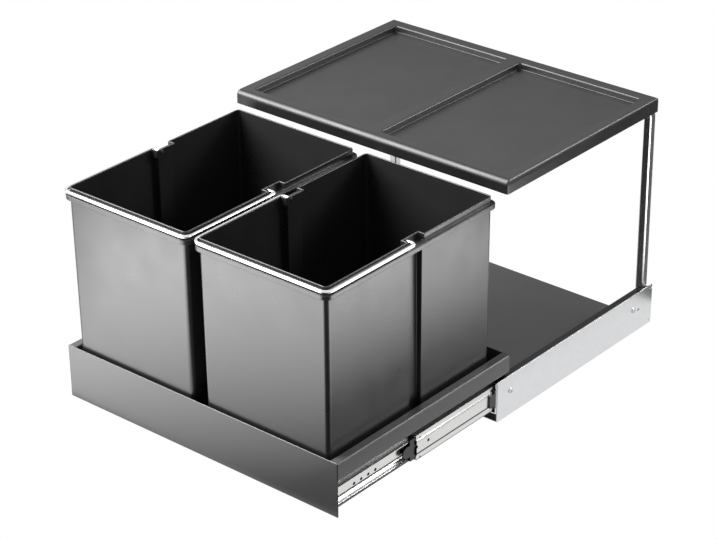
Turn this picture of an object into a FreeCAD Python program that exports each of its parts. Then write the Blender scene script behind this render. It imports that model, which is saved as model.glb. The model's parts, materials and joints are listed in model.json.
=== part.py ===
"""Pull-out waste unit: a fixed base with two posts and a shelf lid, and a tray on three-member
ball slides that carries two lift-out bins with wire bails.

Millimetres.  X is the width, +Y is the rear, +Z is up.  The origin is the middle of the two
floor-screw holes, on the underside of the base floor.  The tray is drawn pulled out.
"""
import FreeCAD, Part
import math
import os

V = FreeCAD.Vector

# ---------------------------------------------------------------- driving dimensions
# fixed base
base_width = 460.0            # over the two side plates
base_depth = 347.0            # front edge to rear edge
side_plate_height = 58.0
side_plate_sheet = 1.5
base_floor_sheet = 1.5
floor_flange_height = 9.5     # turned-up edge of the floor, inside each side plate
rear_flange_margin = 1.7      # side plate wrapped round the rear corner, past the post
bend_relief_height = 5.0      # notch above and below the wrapped flange
bend_relief_depth = 6.0
bend_relief_slot = 1.6
floor_hole_spacing = 360.0
floor_hole_radius = 2.5
floor_hole_inset = 15.0       # from the front edge
side_hole_radius = 2.1
side_hole_rear_inset = 31.7   # from the rear edge
side_hole_height = 31.2

# tray
tray_travel = 292.0
tray_closed_front = 15.8      # front face ahead of the base's front edge, pushed in
tray_rear_clearance = 12.8    # tray to posts, pushed in
tray_underside = 12.0
tray_wall_height = 73.2
tray_sheet = 1.0
tray_panel_sheet = 1.5
tray_lip_width = 13.0         # outer face of the skirt to inner face of the wall
tray_skirt_height = 23.6
front_panel_drop = 1.8        # below the tray's underside

# ball slides; "depth" is measured from the side plate's inner face towards the tray
slide_space = 13.5            # side plate to the tray's wall
slide_centre_height = 35.0
slide_sheet = 1.2
slide_middle_sheet = 1.0
outer_ball = 3.5              # diameter, between outer and middle member
inner_ball = 3.7              # diameter, between middle and inner member
ball_clearance = 0.15
slide_outer_height = 45.0
slide_outer_depth = 9.5
slide_outer_lip = 3.4
slide_outer_front = -2.0      # from the base's front edge
slide_rear_clearance = 3.5    # outer member to post
slide_bumper_length = 12.0    # ahead of the outer member
slide_bumper_height = 18.0
slide_bumper_foot_length = 3.0
slide_bumper_foot_height = 27.0
slide_bumper_tail_length = 14.0
slide_bumper_clearance = 0.3  # to the middle member's web
slide_middle_web_depth = 2.4
slide_middle_shoulder_depth = 3.6
slide_middle_depth = 10.6
slide_middle_lip = 2.2
slide_middle_band = 6.5       # height of the shoulder above and below the raised web
slide_middle_closed_front = -12.0     # from the base's front edge, pushed in
slide_middle_rear_setback = 2.0       # from the outer member's rear end, pushed in
slide_middle_end_setback = 7.5        # two small holes near the front end
slide_middle_end_radius = 1.4
slide_middle_end_high = 12.0
slide_middle_end_low = -15.5
slide_middle_hole_setback = 22.5      # a larger hole, with a half of one in the front edge
slide_middle_hole_radius = 2.2
slide_middle_hole_rise = 2.0
slide_inner_flange = 6.5
slide_inner_band = 5.0
slide_inner_raise = 1.2
slide_inner_front_setback = 5.6       # from the tray's front panel
slide_inner_rear_setback = 2.9        # from the tray's rear panel
slide_inner_hole_radius = 2.2
slide_inner_hole_pitch = 13.2
slide_inner_hole_first = 34.2         # from the member's front end
slide_inner_hole_count = 4
cage_sheet = 0.6
cage_gap = 0.3
cage_ball_hole_clearance = 0.15
cage_ball_count = 6
cage_ball_pitch = 20.0
cage_end_margin = 12.0                # cage beyond its last ball
outer_cage_closed_centre = 163.0      # from the base's front edge, pushed in
inner_cage_closed_front = 51.0        # from the base's front edge, pushed in
inner_cage_sheet = 1.0
inner_cage_tongue_length = 13.5
inner_cage_tongue_height = 16.0

# bins
bin_height = 298.8
bin_gap = 19.0                # between the two collars
bin_side_clearance = 2.7      # collar to the tray's side wall
bin_front_clearance = 2.8     # collar to the tray's front panel
bin_rear_space = 20.3         # collar to the tray's rear panel
bin_draft = 1.7               # each side, over the height
bin_wall = 2.0
bin_floor = 2.4
bin_corner_radius = 6.5
bin_collar_height = 8.8       # collar above the ledge
bin_ledge_overhang = 5.6
bin_ledge_thickness = 2.0
bin_ledge_skirt = 6.6
bin_seat_gap = 0.1
pocket_depth = 11.3           # collar set in at each bail pivot
pocket_front = 7.5            # ahead of the pivot
pocket_rear = 21.5            # behind the pivot
groove_depth = 8.0
groove_width = 21.8
groove_offset = 6.4           # centre behind the pivot

# bails
bail_wire = 4.5
bail_seat_gap = 2.15          # wire to ledge
bail_side_clearance = 2.05    # wire to collar
bail_eye_bend = 5.0           # centreline, at each pivot end
bail_pivot_clearance = 0.09   # radial, wire in the pocket wall
bail_pin_overrun = 1.0        # wire end past the pocket wall

# posts and lid
post_side = 12.0
post_wall = 1.2
post_corner_radius = 2.5
post_bend_radius = 26.0       # outside of the bend
post_lid_clearance = 0.15     # arm to the lid's skirt
post_arm_front_inset = 27.0   # arm's end behind the lid's front edge
post_plug_depth = 8.0
post_plug_flange = 1.2
post_plug_shoulder = 0.8      # flange past the tube's bore
lid_side_inset = 4.75         # from the side plates' outer faces
lid_front_inset = 18.0        # from the base's front edge
lid_bin_clearance = 0.9
lid_height = 18.8
lid_wall = 2.4
lid_corner_radius = 3.0
lid_front_radius = 8.0
lid_edge_radius = 2.6
recess_side_rim = 18.2
recess_front_rim = 17.5
recess_rear_rim = 17.5
recess_rib_width = 21.0
recess_depth = 9.1
recess_corner_radius = 4.0
recess_floor_radius = 3.0
recess_edge_radius = 1.0

# screws
slide_screw_radius = 2.0
slide_screw_head_radius = 3.5
slide_screw_head_height = 1.9
slide_screw_front_inset = 27.0
slide_screw_rear_inset = 44.0
inner_screw_radius = 1.75
inner_screw_head_radius = 3.2
inner_screw_head_height = 1.5
inner_screw_first = 190.0     # behind the inner member's front end
inner_screw_rear_inset = 25.0
post_screw_radius = 2.0
post_screw_head_radius = 3.8
post_screw_head_height = 1.9
post_screw_low = 16.0
post_screw_high = 44.0
lid_screw_radius = 1.75
lid_screw_head_radius = 3.6
lid_screw_head_height = 2.0
lid_screw_bite = 1.2          # into the lid's rim
lid_screw_front_inset = 62.0
lid_screw_rear_inset = 72.0
lid_screw_clearance = 0.3
screw_tip_gap = 0.05
recess_slot_width = 0.9
recess_slot_share = 0.62      # cross recess against head diameter
recess_slot_depth = 0.9

# ---------------------------------------------------------------- shares of the tray's travel
MIDDLE_SHARE = 0.5
OUTER_CAGE_SHARE = MIDDLE_SHARE / 2.0
INNER_CAGE_SHARE = (1.0 + MIDDLE_SHARE) / 2.0

# ---------------------------------------------------------------- places worked out from them
y_front = -floor_hole_inset
y_rear = y_front + base_depth
plate_outer = base_width / 2.0
plate_inner = plate_outer - side_plate_sheet
post_rear = y_rear - side_plate_sheet
post_front = post_rear - post_side

tray_front = y_front - tray_closed_front - tray_travel
tray_rear = post_front - tray_rear_clearance - tray_travel
tray_inner_front = tray_front + tray_panel_sheet
tray_inner_rear = tray_rear - tray_panel_sheet
tray_wall_outer = plate_inner - slide_space
tray_wall_inner = tray_wall_outer - tray_sheet
tray_half = tray_wall_inner + tray_lip_width
tray_floor_top = tray_underside + tray_sheet
tray_top = tray_underside + tray_wall_height
skirt_bottom = tray_top - tray_skirt_height

outer_front = y_front + slide_outer_front
outer_rear = post_front - slide_rear_clearance
middle_front = y_front + slide_middle_closed_front - MIDDLE_SHARE * tray_travel
middle_rear = outer_rear - slide_middle_rear_setback - MIDDLE_SHARE * tray_travel
inner_front = tray_inner_front + slide_inner_front_setback
inner_rear = tray_inner_rear - slide_inner_rear_setback
outer_track = slide_outer_height / 2.0 - slide_sheet
middle_top = outer_track - outer_ball - 2.0 * ball_clearance
middle_track = middle_top - slide_middle_sheet
inner_top = middle_track - inner_ball - 2.0 * ball_clearance
outer_ball_height = (outer_track + middle_top) / 2.0
outer_ball_depth = slide_outer_depth / 2.0
inner_ball_height = (middle_track + inner_top) / 2.0
inner_ball_depth = (slide_middle_shoulder_depth + slide_middle_depth) / 2.0
ball_row_length = (cage_ball_count - 1) * cage_ball_pitch
outer_cage_y = y_front + outer_cage_closed_centre - OUTER_CAGE_SHARE * tray_travel
inner_cage_y0 = y_front + inner_cage_closed_front - INNER_CAGE_SHARE * tray_travel
inner_balls_y = inner_cage_y0 + cage_end_margin + ball_row_length / 2.0
inner_cage_depth = slide_middle_shoulder_depth + slide_middle_sheet + cage_gap

bin_width = tray_wall_inner - bin_side_clearance - bin_gap / 2.0
bin_pitch = bin_width + bin_gap
bin_y0 = tray_inner_front + bin_front_clearance
bin_y1 = tray_inner_rear - bin_rear_space
bin_depth = bin_y1 - bin_y0
bin_centre_y = (bin_y0 + bin_y1) / 2.0
bin_bottom = tray_floor_top + bin_seat_gap
bin_collar_top = bin_bottom + bin_height
ledge_top = bin_collar_top - bin_collar_height
ledge_bottom = ledge_top - bin_ledge_skirt
pivot_height = ledge_top + bail_wire / 2.0 + bail_seat_gap
pocket_wall_inner = bin_width / 2.0 - pocket_depth
pocket_wall_outer = pocket_wall_inner + bin_wall
bail_half = bin_width / 2.0 + bail_side_clearance + bail_wire / 2.0
bail_reach = bin_depth / 2.0 + bail_side_clearance + bail_wire / 2.0
bail_corner = bin_corner_radius + bail_side_clearance + bail_wire / 2.0

lid_half = plate_outer - lid_side_inset
lid_front = y_front + lid_front_inset
lid_underside = bin_collar_top + lid_bin_clearance
lid_top = lid_underside + lid_height
lid_ceiling = lid_top - lid_wall
post_outer = lid_half - lid_wall - post_lid_clearance
post_inner = post_outer - post_side
post_centre_x = (post_outer + post_inner) / 2.0
arm_top = lid_ceiling
arm_bottom = arm_top - post_side
arm_front = lid_front + post_arm_front_inset
bend_centre_y = post_rear - post_bend_radius
bend_centre_z = arm_top - post_bend_radius
bore_corner_radius = post_corner_radius - 0.9 * post_wall

SIDES = (("left", -1.0), ("right", 1.0))


# ---------------------------------------------------------------- shape helpers
def block(x0, x1, y0, y1, z0, z1):
    """A box between two corners given in any order along each axis."""
    low = V(min(x0, x1), min(y0, y1), min(z0, z1))
    return Part.makeBox(abs(x1 - x0), abs(y1 - y0), abs(z1 - z0), low)


def rod(radius, start, direction, length):
    """A cylinder from a start point along a direction."""
    return Part.makeCylinder(radius, length, V(*start), V(*direction))


def rounded_outline(x0, x1, y0, y1, radius, z):
    """A closed wire: a rectangle with round corners, in a horizontal plane."""
    corners = ((x1 - radius, y1 - radius, 0.0), (x0 + radius, y1 - radius, 90.0),
               (x0 + radius, y0 + radius, 180.0), (x1 - radius, y0 + radius, 270.0))
    points = []
    for cx, cy, start in corners:
        for step in (0.0, 45.0, 90.0):
            angle = math.radians(start + step)
            points.append(V(cx + radius * math.cos(angle), cy + radius * math.sin(angle), z))
    edges = []
    for corner in range(4):
        first, middle, last = points[3 * corner:3 * corner + 3]
        edges.append(Part.Arc(first, middle, last).toShape())
        edges.append(Part.makeLine(last, points[(3 * corner + 3) % 12]))
    return Part.Wire(edges)


def rounded_prism(x0, x1, y0, y1, radius, z0, z1):
    """An upright prism on a rounded rectangle."""
    face = Part.Face(rounded_outline(x0, x1, y0, y1, radius, z0))
    return face.extrude(V(0, 0, z1 - z0))


def sheet_section(path, sheet):
    """Closed outline of a folded sheet: the path is one face, the sheet lies to its left."""
    count = len(path)
    normals = []
    for (ax, az), (bx, bz) in zip(path, path[1:]):
        length = math.hypot(bx - ax, bz - az)
        normals.append((-(bz - az) / length, (bx - ax) / length))
    offset = []
    for index in range(count):
        before = normals[max(index - 1, 0)]
        after = normals[min(index, count - 2)]
        scale = sheet / (1.0 + before[0] * after[0] + before[1] * after[1])
        px, pz = path[index]
        offset.append((px + scale * (before[0] + after[0]), pz + scale * (before[1] + after[1])))
    return list(path) + offset[::-1]


def extrude_section(outline, y0, y1):
    """A prism along Y from an outline in the X-Z plane."""
    points = [V(x, y0, z) for x, z in outline]
    face = Part.Face(Part.makePolygon(points + points[:1]))
    return face.extrude(V(0, y1 - y0, 0))


def slide_profile(side, half_path, sheet, y0, y1):
    """A channel symmetric about the slide's centre height, from its upper half.

    The half path runs from the free edge of the upper flange to the web, as depth from the
    side plate's inner face and height above the slide's centre.
    """
    path = half_path + [(depth, -height) for depth, height in reversed(half_path)]
    points = [(side * (plate_inner - depth), slide_centre_height + height) for depth, height in path]
    return extrude_section(sheet_section(points, -side * sheet), y0, y1)


def cross_recess(centre, axis, head_radius, depth):
    """Two crossed slots that open at the centre point and run inwards along the axis."""
    length = 2.0 * head_radius * recess_slot_share
    slots = []
    for long_x, long_y in ((length, recess_slot_width), (recess_slot_width, length)):
        slots.append(Part.makeBox(long_x, long_y, 2.0 * depth, V(-long_x / 2.0, -long_y / 2.0, -depth)))
    cross = slots[0].fuse(slots[1])
    cross.Placement = FreeCAD.Placement(V(*centre), FreeCAD.Rotation(V(0, 0, 1), V(*axis)))
    return cross


def pan_screw(seat, direction, shank_radius, shank_length, head_radius, head_height):
    """A pan-head screw: the head's underside is at the seat, the shank runs along direction."""
    away = [-component for component in direction]
    head = rod(head_radius, seat, away, head_height)
    crown = V(*seat) + V(*away) * head_height
    rim = [edge for edge in head.Edges if edge.Length > 6.0 * head_radius
           and abs((edge.CenterOfMass - crown).Length) < 0.01]
    head = head.makeFillet(0.6 * head_height, rim)
    head = head.cut(cross_recess(tuple(crown), away, head_radius, recess_slot_depth))
    return head.fuse(rod(shank_radius, seat, direction, shank_length)).removeSplitter()


# ---------------------------------------------------------------- fixed base
def make_base_floor():
    """The floor sheet, with a low flange turned up inside each side plate."""
    outline = [(-plate_inner, floor_flange_height), (-plate_inner, 0.0),
               (plate_inner, 0.0), (plate_inner, floor_flange_height)]
    floor = extrude_section(sheet_section(outline, base_floor_sheet), y_front, y_rear)
    for x in (-floor_hole_spacing / 2.0, floor_hole_spacing / 2.0):
        floor = floor.cut(rod(floor_hole_radius, (x, 0, -1), (0, 0, 1), base_floor_sheet + 2))
    # the flanges stop short of the posts and the wrapped corners
    notch_front = post_rear - post_side - 1.0
    for side in (-1.0, 1.0):
        floor = floor.cut(block(side * (plate_inner - base_floor_sheet), side * plate_inner,
                                notch_front, y_rear, base_floor_sheet, floor_flange_height + 1))
    return floor


def screw_places():
    """Distances along Y of the two screws that hold a slide to its side plate."""
    return (y_front + slide_screw_front_inset, y_rear - slide_screw_rear_inset)


def make_side_plate(side):
    """A galvanised side plate, wrapped round the rear corner with bend reliefs."""
    plate = block(side * plate_inner, side * plate_outer, y_front, y_rear, 0, side_plate_height)
    flange = block(side * (post_inner - rear_flange_margin), side * plate_outer,
                   post_rear, y_rear, bend_relief_height, side_plate_height - bend_relief_height)
    plate = plate.fuse(flange)
    relief_front = y_rear - bend_relief_depth
    for z in (bend_relief_height, side_plate_height - bend_relief_height):
        notch = block(side * (plate_inner - 1), side * (plate_outer + 1), relief_front, y_rear + 1,
                      z - bend_relief_slot / 2.0, z + bend_relief_slot / 2.0)
        plate = plate.cut(notch)
    for y in screw_places():
        plate = plate.cut(rod(slide_screw_radius, (side * (plate_inner - 1), y, slide_centre_height),
                              (side, 0, 0), side_plate_sheet + 2))
    plate = plate.cut(side_hole(side))
    for z in (post_screw_low, post_screw_high):
        plate = plate.cut(rod(post_screw_radius, (side * post_centre_x, post_rear - 1, z),
                              (0, 1, 0), side_plate_sheet + 2))
    return plate.removeSplitter()


def side_hole(side):
    """Cutter for the cabinet-side screw hole, through the side plate and the slide behind it."""
    return rod(side_hole_radius, (side * (plate_inner - slide_sheet - 1), y_rear - side_hole_rear_inset,
                                  side_hole_height), (side, 0, 0), side_plate_sheet + slide_sheet + 2)


def make_slide_outer(side):
    """The cabinet member: a channel with turned-in lips."""
    top = slide_outer_height / 2.0
    half = [(slide_outer_depth, top - slide_outer_lip), (slide_outer_depth, top), (0.0, top)]
    member = slide_profile(side, half, slide_sheet, outer_front, outer_rear)
    for y in screw_places():
        member = member.cut(rod(slide_screw_radius, (side * (plate_inner - slide_sheet - 1), y,
                                                     slide_centre_height), (side, 0, 0), slide_sheet + 2))
    return member.cut(side_hole(side)).removeSplitter()


def bumper_block(side, near, far, y0, y1, height):
    """A block of the bumper, between two depths from the side plate, about the slide's centre."""
    return block(side * (plate_inner - near), side * (plate_inner - far), y0, y1,
                 slide_centre_height - height / 2.0, slide_centre_height + height / 2.0)


def make_slide_bumper(side):
    """A plastic bumper on the outer member's front end, which the closed tray meets."""
    thickness = slide_middle_web_depth - slide_bumper_clearance
    head = bumper_block(side, 0.0, thickness, outer_front - slide_bumper_length, outer_front,
                        slide_bumper_height)
    foot = bumper_block(side, 0.0, thickness, outer_front - slide_bumper_foot_length, outer_front,
                        slide_bumper_foot_height)
    tail = bumper_block(side, slide_sheet, thickness, outer_front,
                        outer_front + slide_bumper_tail_length, slide_bumper_height)
    return head.fuse([foot, tail]).removeSplitter()


def make_slide_screws():
    """Screws from outside, through each side plate into the slide's web."""
    screws = []
    for _, side in SIDES:
        for y in screw_places():
            screws.append(pan_screw((side * plate_outer, y, slide_centre_height), (-side, 0, 0),
                                    slide_screw_radius, side_plate_sheet + slide_sheet - screw_tip_gap,
                                    slide_screw_head_radius, slide_screw_head_height))
    return screws


# ---------------------------------------------------------------- posts and lid
def post_tube(side, shrink):
    """The outside of one post, or with a shrink, its bore."""
    x0 = side * (post_centre_x - post_side / 2.0 + shrink)
    x1 = side * (post_centre_x + post_side / 2.0 - shrink)
    x0, x1 = min(x0, x1), max(x0, x1)
    radius = bore_corner_radius if shrink else post_corner_radius
    y1 = post_rear - shrink
    y0 = post_rear - post_side + shrink
    outline = rounded_outline(x0, x1, y0, y1, radius, bend_centre_z)
    section = Part.Face(outline)
    upright = section.extrude(V(0, 0, base_floor_sheet - bend_centre_z))
    bend = section.revolve(V(0, bend_centre_y, bend_centre_z), V(1, 0, 0), 90)
    turned = section.copy()
    turned.rotate(V(0, bend_centre_y, bend_centre_z), V(1, 0, 0), 90)
    arm = turned.extrude(V(0, arm_front - bend_centre_y, 0))
    return upright.fuse([bend, arm])


def lid_screw_places():
    """Distances along Y of the two screws in each arm."""
    return (lid_front + lid_screw_front_inset, y_rear - lid_screw_rear_inset)


def make_post(side):
    """A square tube that rises from the base and bends forward under the lid's rim."""
    post = post_tube(side, 0.0).cut(post_tube(side, post_wall))
    for z in (post_screw_low, post_screw_high):
        post = post.cut(rod(post_screw_radius, (side * post_centre_x, post_rear - post_wall - 1, z),
                            (0, 1, 0), post_wall + 2))
    for y in lid_screw_places():
        post = post.cut(rod(lid_screw_radius + lid_screw_clearance, (side * post_centre_x, y, arm_bottom - 1),
                            (0, 0, 1), post_side + 2))
    return post.removeSplitter()


def make_arm_plugs():
    """Plastic plugs that close the front ends of the two arms."""
    plugs = []
    for _, side in SIDES:
        x = side * post_centre_x
        half = post_side / 2.0 - post_wall
        z = (arm_top + arm_bottom) / 2.0
        stem = block(x - half, x + half, arm_front, arm_front + post_plug_depth, z - half, z + half)
        stem = stem.makeFillet(bore_corner_radius,
                               [edge for edge in stem.Edges if abs(edge.tangentAt(0).y) > 0.9])
        half = half + post_plug_shoulder
        cap = block(x - half, x + half, arm_front - post_plug_flange, arm_front, z - half, z + half)
        plugs.append(stem.fuse(cap).removeSplitter())
    return plugs


def make_post_screws():
    """Screws from behind, through the wrapped flange into each post."""
    screws = []
    for _, side in SIDES:
        for z in (post_screw_low, post_screw_high):
            screws.append(pan_screw((side * post_centre_x, y_rear, z), (0, -1, 0), post_screw_radius,
                                    side_plate_sheet + post_wall - screw_tip_gap, post_screw_head_radius,
                                    post_screw_head_height))
    return screws


def edge_cutter(start, along, outward, radius):
    """What rounds a straight upper edge off: a square bar less a cylinder."""
    centre = start - outward * radius - V(0, 0, radius)
    far = start + along + outward + V(0, 0, 1)
    bar = block(centre.x, far.x, centre.y, far.y, centre.z, far.z)
    return bar.cut(Part.makeCylinder(radius, along.Length, centre, along))


def lid_block(inset, z0, z1):
    """The lid's outer form, or with an inset, the hollow under it."""
    half = lid_half - inset
    y0 = lid_front + inset
    y1 = y_rear - inset
    solid = rounded_prism(-half, half, y0, y1, lid_corner_radius - inset, z0, z1)
    across = V(2 * half + 2, 0, 0)
    back = V(0, y1 - y0 + 2, 0)
    edges = ((V(-half - 1, y0, z1), across, V(0, -1, 0), lid_front_radius),
             (V(-half - 1, y1, z1), across, V(0, 1, 0), lid_edge_radius),
             (V(-half, y0 - 1, z1), back, V(-1, 0, 0), lid_edge_radius),
             (V(half, y0 - 1, z1), back, V(1, 0, 0), lid_edge_radius))
    for start, along, outward, radius in edges:
        if radius > inset + 0.5:
            solid = solid.cut(edge_cutter(start, along, outward, radius - inset))
    return solid


def recess_spans():
    """The two recesses as (x0, x1), left then right."""
    outer = lid_half - recess_side_rim
    return ((-outer, -recess_rib_width / 2.0), (recess_rib_width / 2.0, outer))


def make_lid():
    """A moulded shelf lid: a hollow rim round two shallow recesses with a rib between them."""
    lid = lid_block(0.0, lid_underside, lid_top)
    lid = lid.cut(lid_block(lid_wall, lid_underside - 1, lid_ceiling))
    y0 = lid_front + recess_front_rim
    y1 = y_rear - recess_rear_rim
    floor = lid_top - recess_depth
    for x0, x1 in recess_spans():
        lid = lid.fuse(rounded_prism(x0 - lid_wall, x1 + lid_wall, y0 - lid_wall, y1 + lid_wall,
                                     recess_corner_radius + lid_wall, floor - lid_wall, lid_ceiling + 0.5))
    for x0, x1 in recess_spans():
        cutter = rounded_prism(x0, x1, y0, y1, recess_corner_radius, floor, lid_top + 5)
        rim = [edge for edge in cutter.Edges if edge.BoundBox.ZMax < floor + 0.01]
        lid = lid.cut(cutter.makeFillet(recess_floor_radius, rim))
    for _, side in SIDES:
        for y in lid_screw_places():
            lid = lid.cut(rod(lid_screw_radius, (side * post_centre_x, y, lid_ceiling - 1), (0, 0, 1),
                              1 + lid_screw_bite))
    lid = lid.removeSplitter()
    recess_edges = [edge for edge in lid.Edges if on_recess_edge(edge, y0, y1)]
    return lid.makeFillet(recess_edge_radius, recess_edges)


def on_recess_edge(edge, y0, y1):
    """True for an edge round the top of either recess."""
    box = edge.BoundBox
    outer = lid_half - recess_side_rim
    level = box.ZMin > lid_top - 0.01 and box.ZMax < lid_top + 0.01
    inside = box.XMin > -outer - 0.01 and box.XMax < outer + 0.01
    return level and inside and box.YMin > y0 - 0.01 and box.YMax < y1 + 0.01


def make_lid_screws():
    """Screws from below, through each arm into the lid's rim."""
    screws = []
    for _, side in SIDES:
        for y in lid_screw_places():
            screws.append(pan_screw((side * post_centre_x, y, arm_bottom), (0, 0, 1), lid_screw_radius,
                                    post_side + lid_screw_bite - screw_tip_gap,
                                    lid_screw_head_radius, lid_screw_head_height))
    return screws


# ---------------------------------------------------------------- tray
def make_tray_pan():
    """One folded sheet: floor, side walls, outward lips and down-turned skirts."""
    half = [(tray_half, skirt_bottom), (tray_half, tray_top), (tray_wall_inner, tray_top)]
    right = half + [(tray_wall_inner, tray_floor_top)]
    path = right + [(-x, z) for x, z in reversed(right)]
    pan = extrude_section(sheet_section(path, tray_sheet), tray_inner_front, tray_inner_rear)
    for _, side in SIDES:
        for y in inner_screw_places():
            pan = pan.cut(rod(inner_screw_radius, (side * (tray_wall_inner - 1), y, slide_centre_height),
                              (side, 0, 0), tray_sheet + 2))
    return pan


def make_tray_front():
    """The plain front panel."""
    return block(-tray_half, tray_half, tray_front, tray_inner_front,
                 tray_underside - front_panel_drop, tray_top)


def make_tray_rear():
    """The rear panel: as wide as the lips at the top, and between the slides below them."""
    below = block(-tray_wall_outer, tray_wall_outer, tray_inner_rear, tray_rear, tray_underside, tray_top)
    above = block(-tray_half, tray_half, tray_inner_rear, tray_rear, skirt_bottom, tray_top)
    return below.fuse(above).removeSplitter()


def inner_screw_places():
    """Distances along Y of the screws that hold an inner member to the tray's wall."""
    return (inner_front + inner_screw_first, inner_rear - inner_screw_rear_inset)


def make_slide_inner(side):
    """The tray member: a channel whose raised web carries a row of adjusting holes."""
    band = inner_top - slide_inner_band
    flange_edge = slide_space - slide_inner_flange
    half = [(flange_edge, inner_top), (slide_space, inner_top), (slide_space, band + slide_inner_raise),
            (slide_space - slide_inner_raise, band)]
    path = half + [(depth, -height) for depth, height in reversed(half)]
    points = [(side * (plate_inner - depth), slide_centre_height + height) for depth, height in path]
    section = sheet_section(points, side * slide_sheet)
    member = extrude_section(section, inner_front, inner_rear)
    web = side * (tray_wall_outer - 1)
    for index in range(slide_inner_hole_count):
        y = inner_front + slide_inner_hole_first + index * slide_inner_hole_pitch
        member = member.cut(rod(slide_inner_hole_radius, (web, y, slide_centre_height), (side, 0, 0), 6))
    for y in inner_screw_places():
        member = member.cut(rod(inner_screw_radius, (web, y, slide_centre_height), (side, 0, 0), 6))
    return member


def make_inner_screws():
    """Screws that hold the inner members to the tray's walls, heads inside the channels."""
    seat = tray_wall_outer + slide_inner_raise + slide_sheet
    screws = []
    for _, side in SIDES:
        for y in inner_screw_places():
            screws.append(pan_screw((side * seat, y, slide_centre_height), (-side, 0, 0),
                                    inner_screw_radius, seat - tray_wall_inner, inner_screw_head_radius,
                                    inner_screw_head_height))
    return screws


# ---------------------------------------------------------------- middle members, cages and balls
def make_slide_middle(side):
    """The middle member: a channel with a raised web and turned-in lips."""
    top = middle_top
    band = top - slide_middle_band
    joggle = slide_middle_shoulder_depth - slide_middle_web_depth
    half = [(slide_middle_depth, top - slide_middle_lip), (slide_middle_depth, top),
            (slide_middle_shoulder_depth, top), (slide_middle_shoulder_depth, band),
            (slide_middle_web_depth, band - joggle)]
    member = slide_profile(side, half, slide_middle_sheet, middle_front, middle_rear)
    start = side * (plate_inner - slide_middle_shoulder_depth - slide_middle_sheet - 1)
    holes = ((slide_middle_end_setback, slide_middle_end_high, slide_middle_end_radius),
             (slide_middle_end_setback, slide_middle_end_low, slide_middle_end_radius),
             (slide_middle_hole_setback, slide_middle_hole_rise, slide_middle_hole_radius),
             (0.0, slide_middle_hole_rise, slide_middle_hole_radius))
    for setback, height, radius in holes:
        member = member.cut(rod(radius, (start, middle_front + setback, slide_centre_height + height),
                                (side, 0, 0), slide_middle_shoulder_depth + 2))
    return member


def ball_places(side, centre_y, depth, height):
    """Centres of two rows of balls, above and below the slide's centre."""
    first = centre_y - ball_row_length / 2.0
    x = side * (plate_inner - depth)
    rows = (slide_centre_height + height, slide_centre_height - height)
    return [V(x, first + index * cage_ball_pitch, z) for z in rows for index in range(cage_ball_count)]


def make_cage(side, web, flange_end, height, sheet, y0, y1, balls, ball_radius):
    """A ball cage: a thin channel between two members, with a hole round each ball."""
    half = [(flange_end, height + sheet / 2.0), (web, height + sheet / 2.0)]
    cage = slide_profile(side, half, sheet, y0, y1)
    for ball in balls:
        hole = rod(ball_radius + cage_ball_hole_clearance, (ball.x, ball.y, ball.z - 2), (0, 0, 1), 4)
        cage = cage.cut(hole)
    return cage


def outer_balls(side):
    """Centres of the balls between the outer and the middle member."""
    return ball_places(side, outer_cage_y, outer_ball_depth, outer_ball_height)


def inner_balls(side):
    """Centres of the balls between the middle and the inner member."""
    return ball_places(side, inner_balls_y, inner_ball_depth, inner_ball_height)


def make_outer_cage(side):
    """The cage between the outer and the middle member."""
    reach = ball_row_length / 2.0 + cage_end_margin
    web = slide_sheet + cage_gap
    flange_end = slide_outer_depth - slide_sheet - cage_gap
    return make_cage(side, web, flange_end, outer_ball_height, cage_sheet,
                     outer_cage_y - reach, outer_cage_y + reach, outer_balls(side), outer_ball / 2.0)


def make_inner_cage(side):
    """The cage between the middle and the inner member, with a rounded tongue at its front."""
    y1 = inner_balls_y + ball_row_length / 2.0 + cage_end_margin
    flange_end = slide_middle_depth - slide_middle_sheet - cage_gap
    cage = make_cage(side, inner_cage_depth, flange_end, inner_ball_height, inner_cage_sheet,
                     inner_cage_y0, y1, inner_balls(side), inner_ball / 2.0)
    x0 = side * (plate_inner - inner_cage_depth - inner_cage_sheet)
    x1 = side * (plate_inner - inner_cage_depth)
    tip = inner_cage_tongue_height / 2.0
    nose_y = inner_cage_y0 - inner_cage_tongue_length + tip
    tongue = block(x0, x1, nose_y, inner_cage_y0, slide_centre_height - tip, slide_centre_height + tip)
    nose = rod(tip, (min(x0, x1), nose_y, slide_centre_height), (1, 0, 0), inner_cage_sheet)
    return cage.fuse([tongue, nose]).removeSplitter()


def make_balls(places, radius):
    """Loose steel balls."""
    return [Part.makeSphere(radius, place) for place in places]


# ---------------------------------------------------------------- bins and bails
def bin_outline(centre_x, z, grow):
    """The bin's outside at a height, grown or shrunk evenly; it narrows towards the bottom."""
    share = (bin_collar_top - z) / (bin_collar_top - bin_bottom)
    half_x = bin_width / 2.0 - bin_draft * share + grow
    half_y = bin_depth / 2.0 - bin_draft * share + grow
    return rounded_outline(centre_x - half_x, centre_x + half_x, bin_centre_y - half_y,
                           bin_centre_y + half_y, bin_corner_radius + grow, z)


def bin_body(centre_x, z0, z1, grow):
    """A drafted solid between two heights."""
    return Part.makeLoft([bin_outline(centre_x, z0, grow), bin_outline(centre_x, z1, grow)], True, True)


def pocket_block(centre_x, side, grow, z0, z1):
    """The set-back round a bail pivot; grown, it is the wall that surrounds it."""
    return block(centre_x + side * (pocket_wall_outer - grow), centre_x + side * bin_width,
                 bin_centre_y - pocket_front - grow, bin_centre_y + pocket_rear + grow, z0, z1)


def groove_block(centre_x, side, grow, z0, z1):
    """The upright groove below the pivot; grown, it is the wall that surrounds it."""
    middle = bin_centre_y + groove_offset
    inner = bin_width / 2.0 - groove_depth
    return block(centre_x + side * (inner - grow), centre_x + side * bin_width,
                 middle - groove_width / 2.0 - grow, middle + groove_width / 2.0 + grow, z0, z1)


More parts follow.
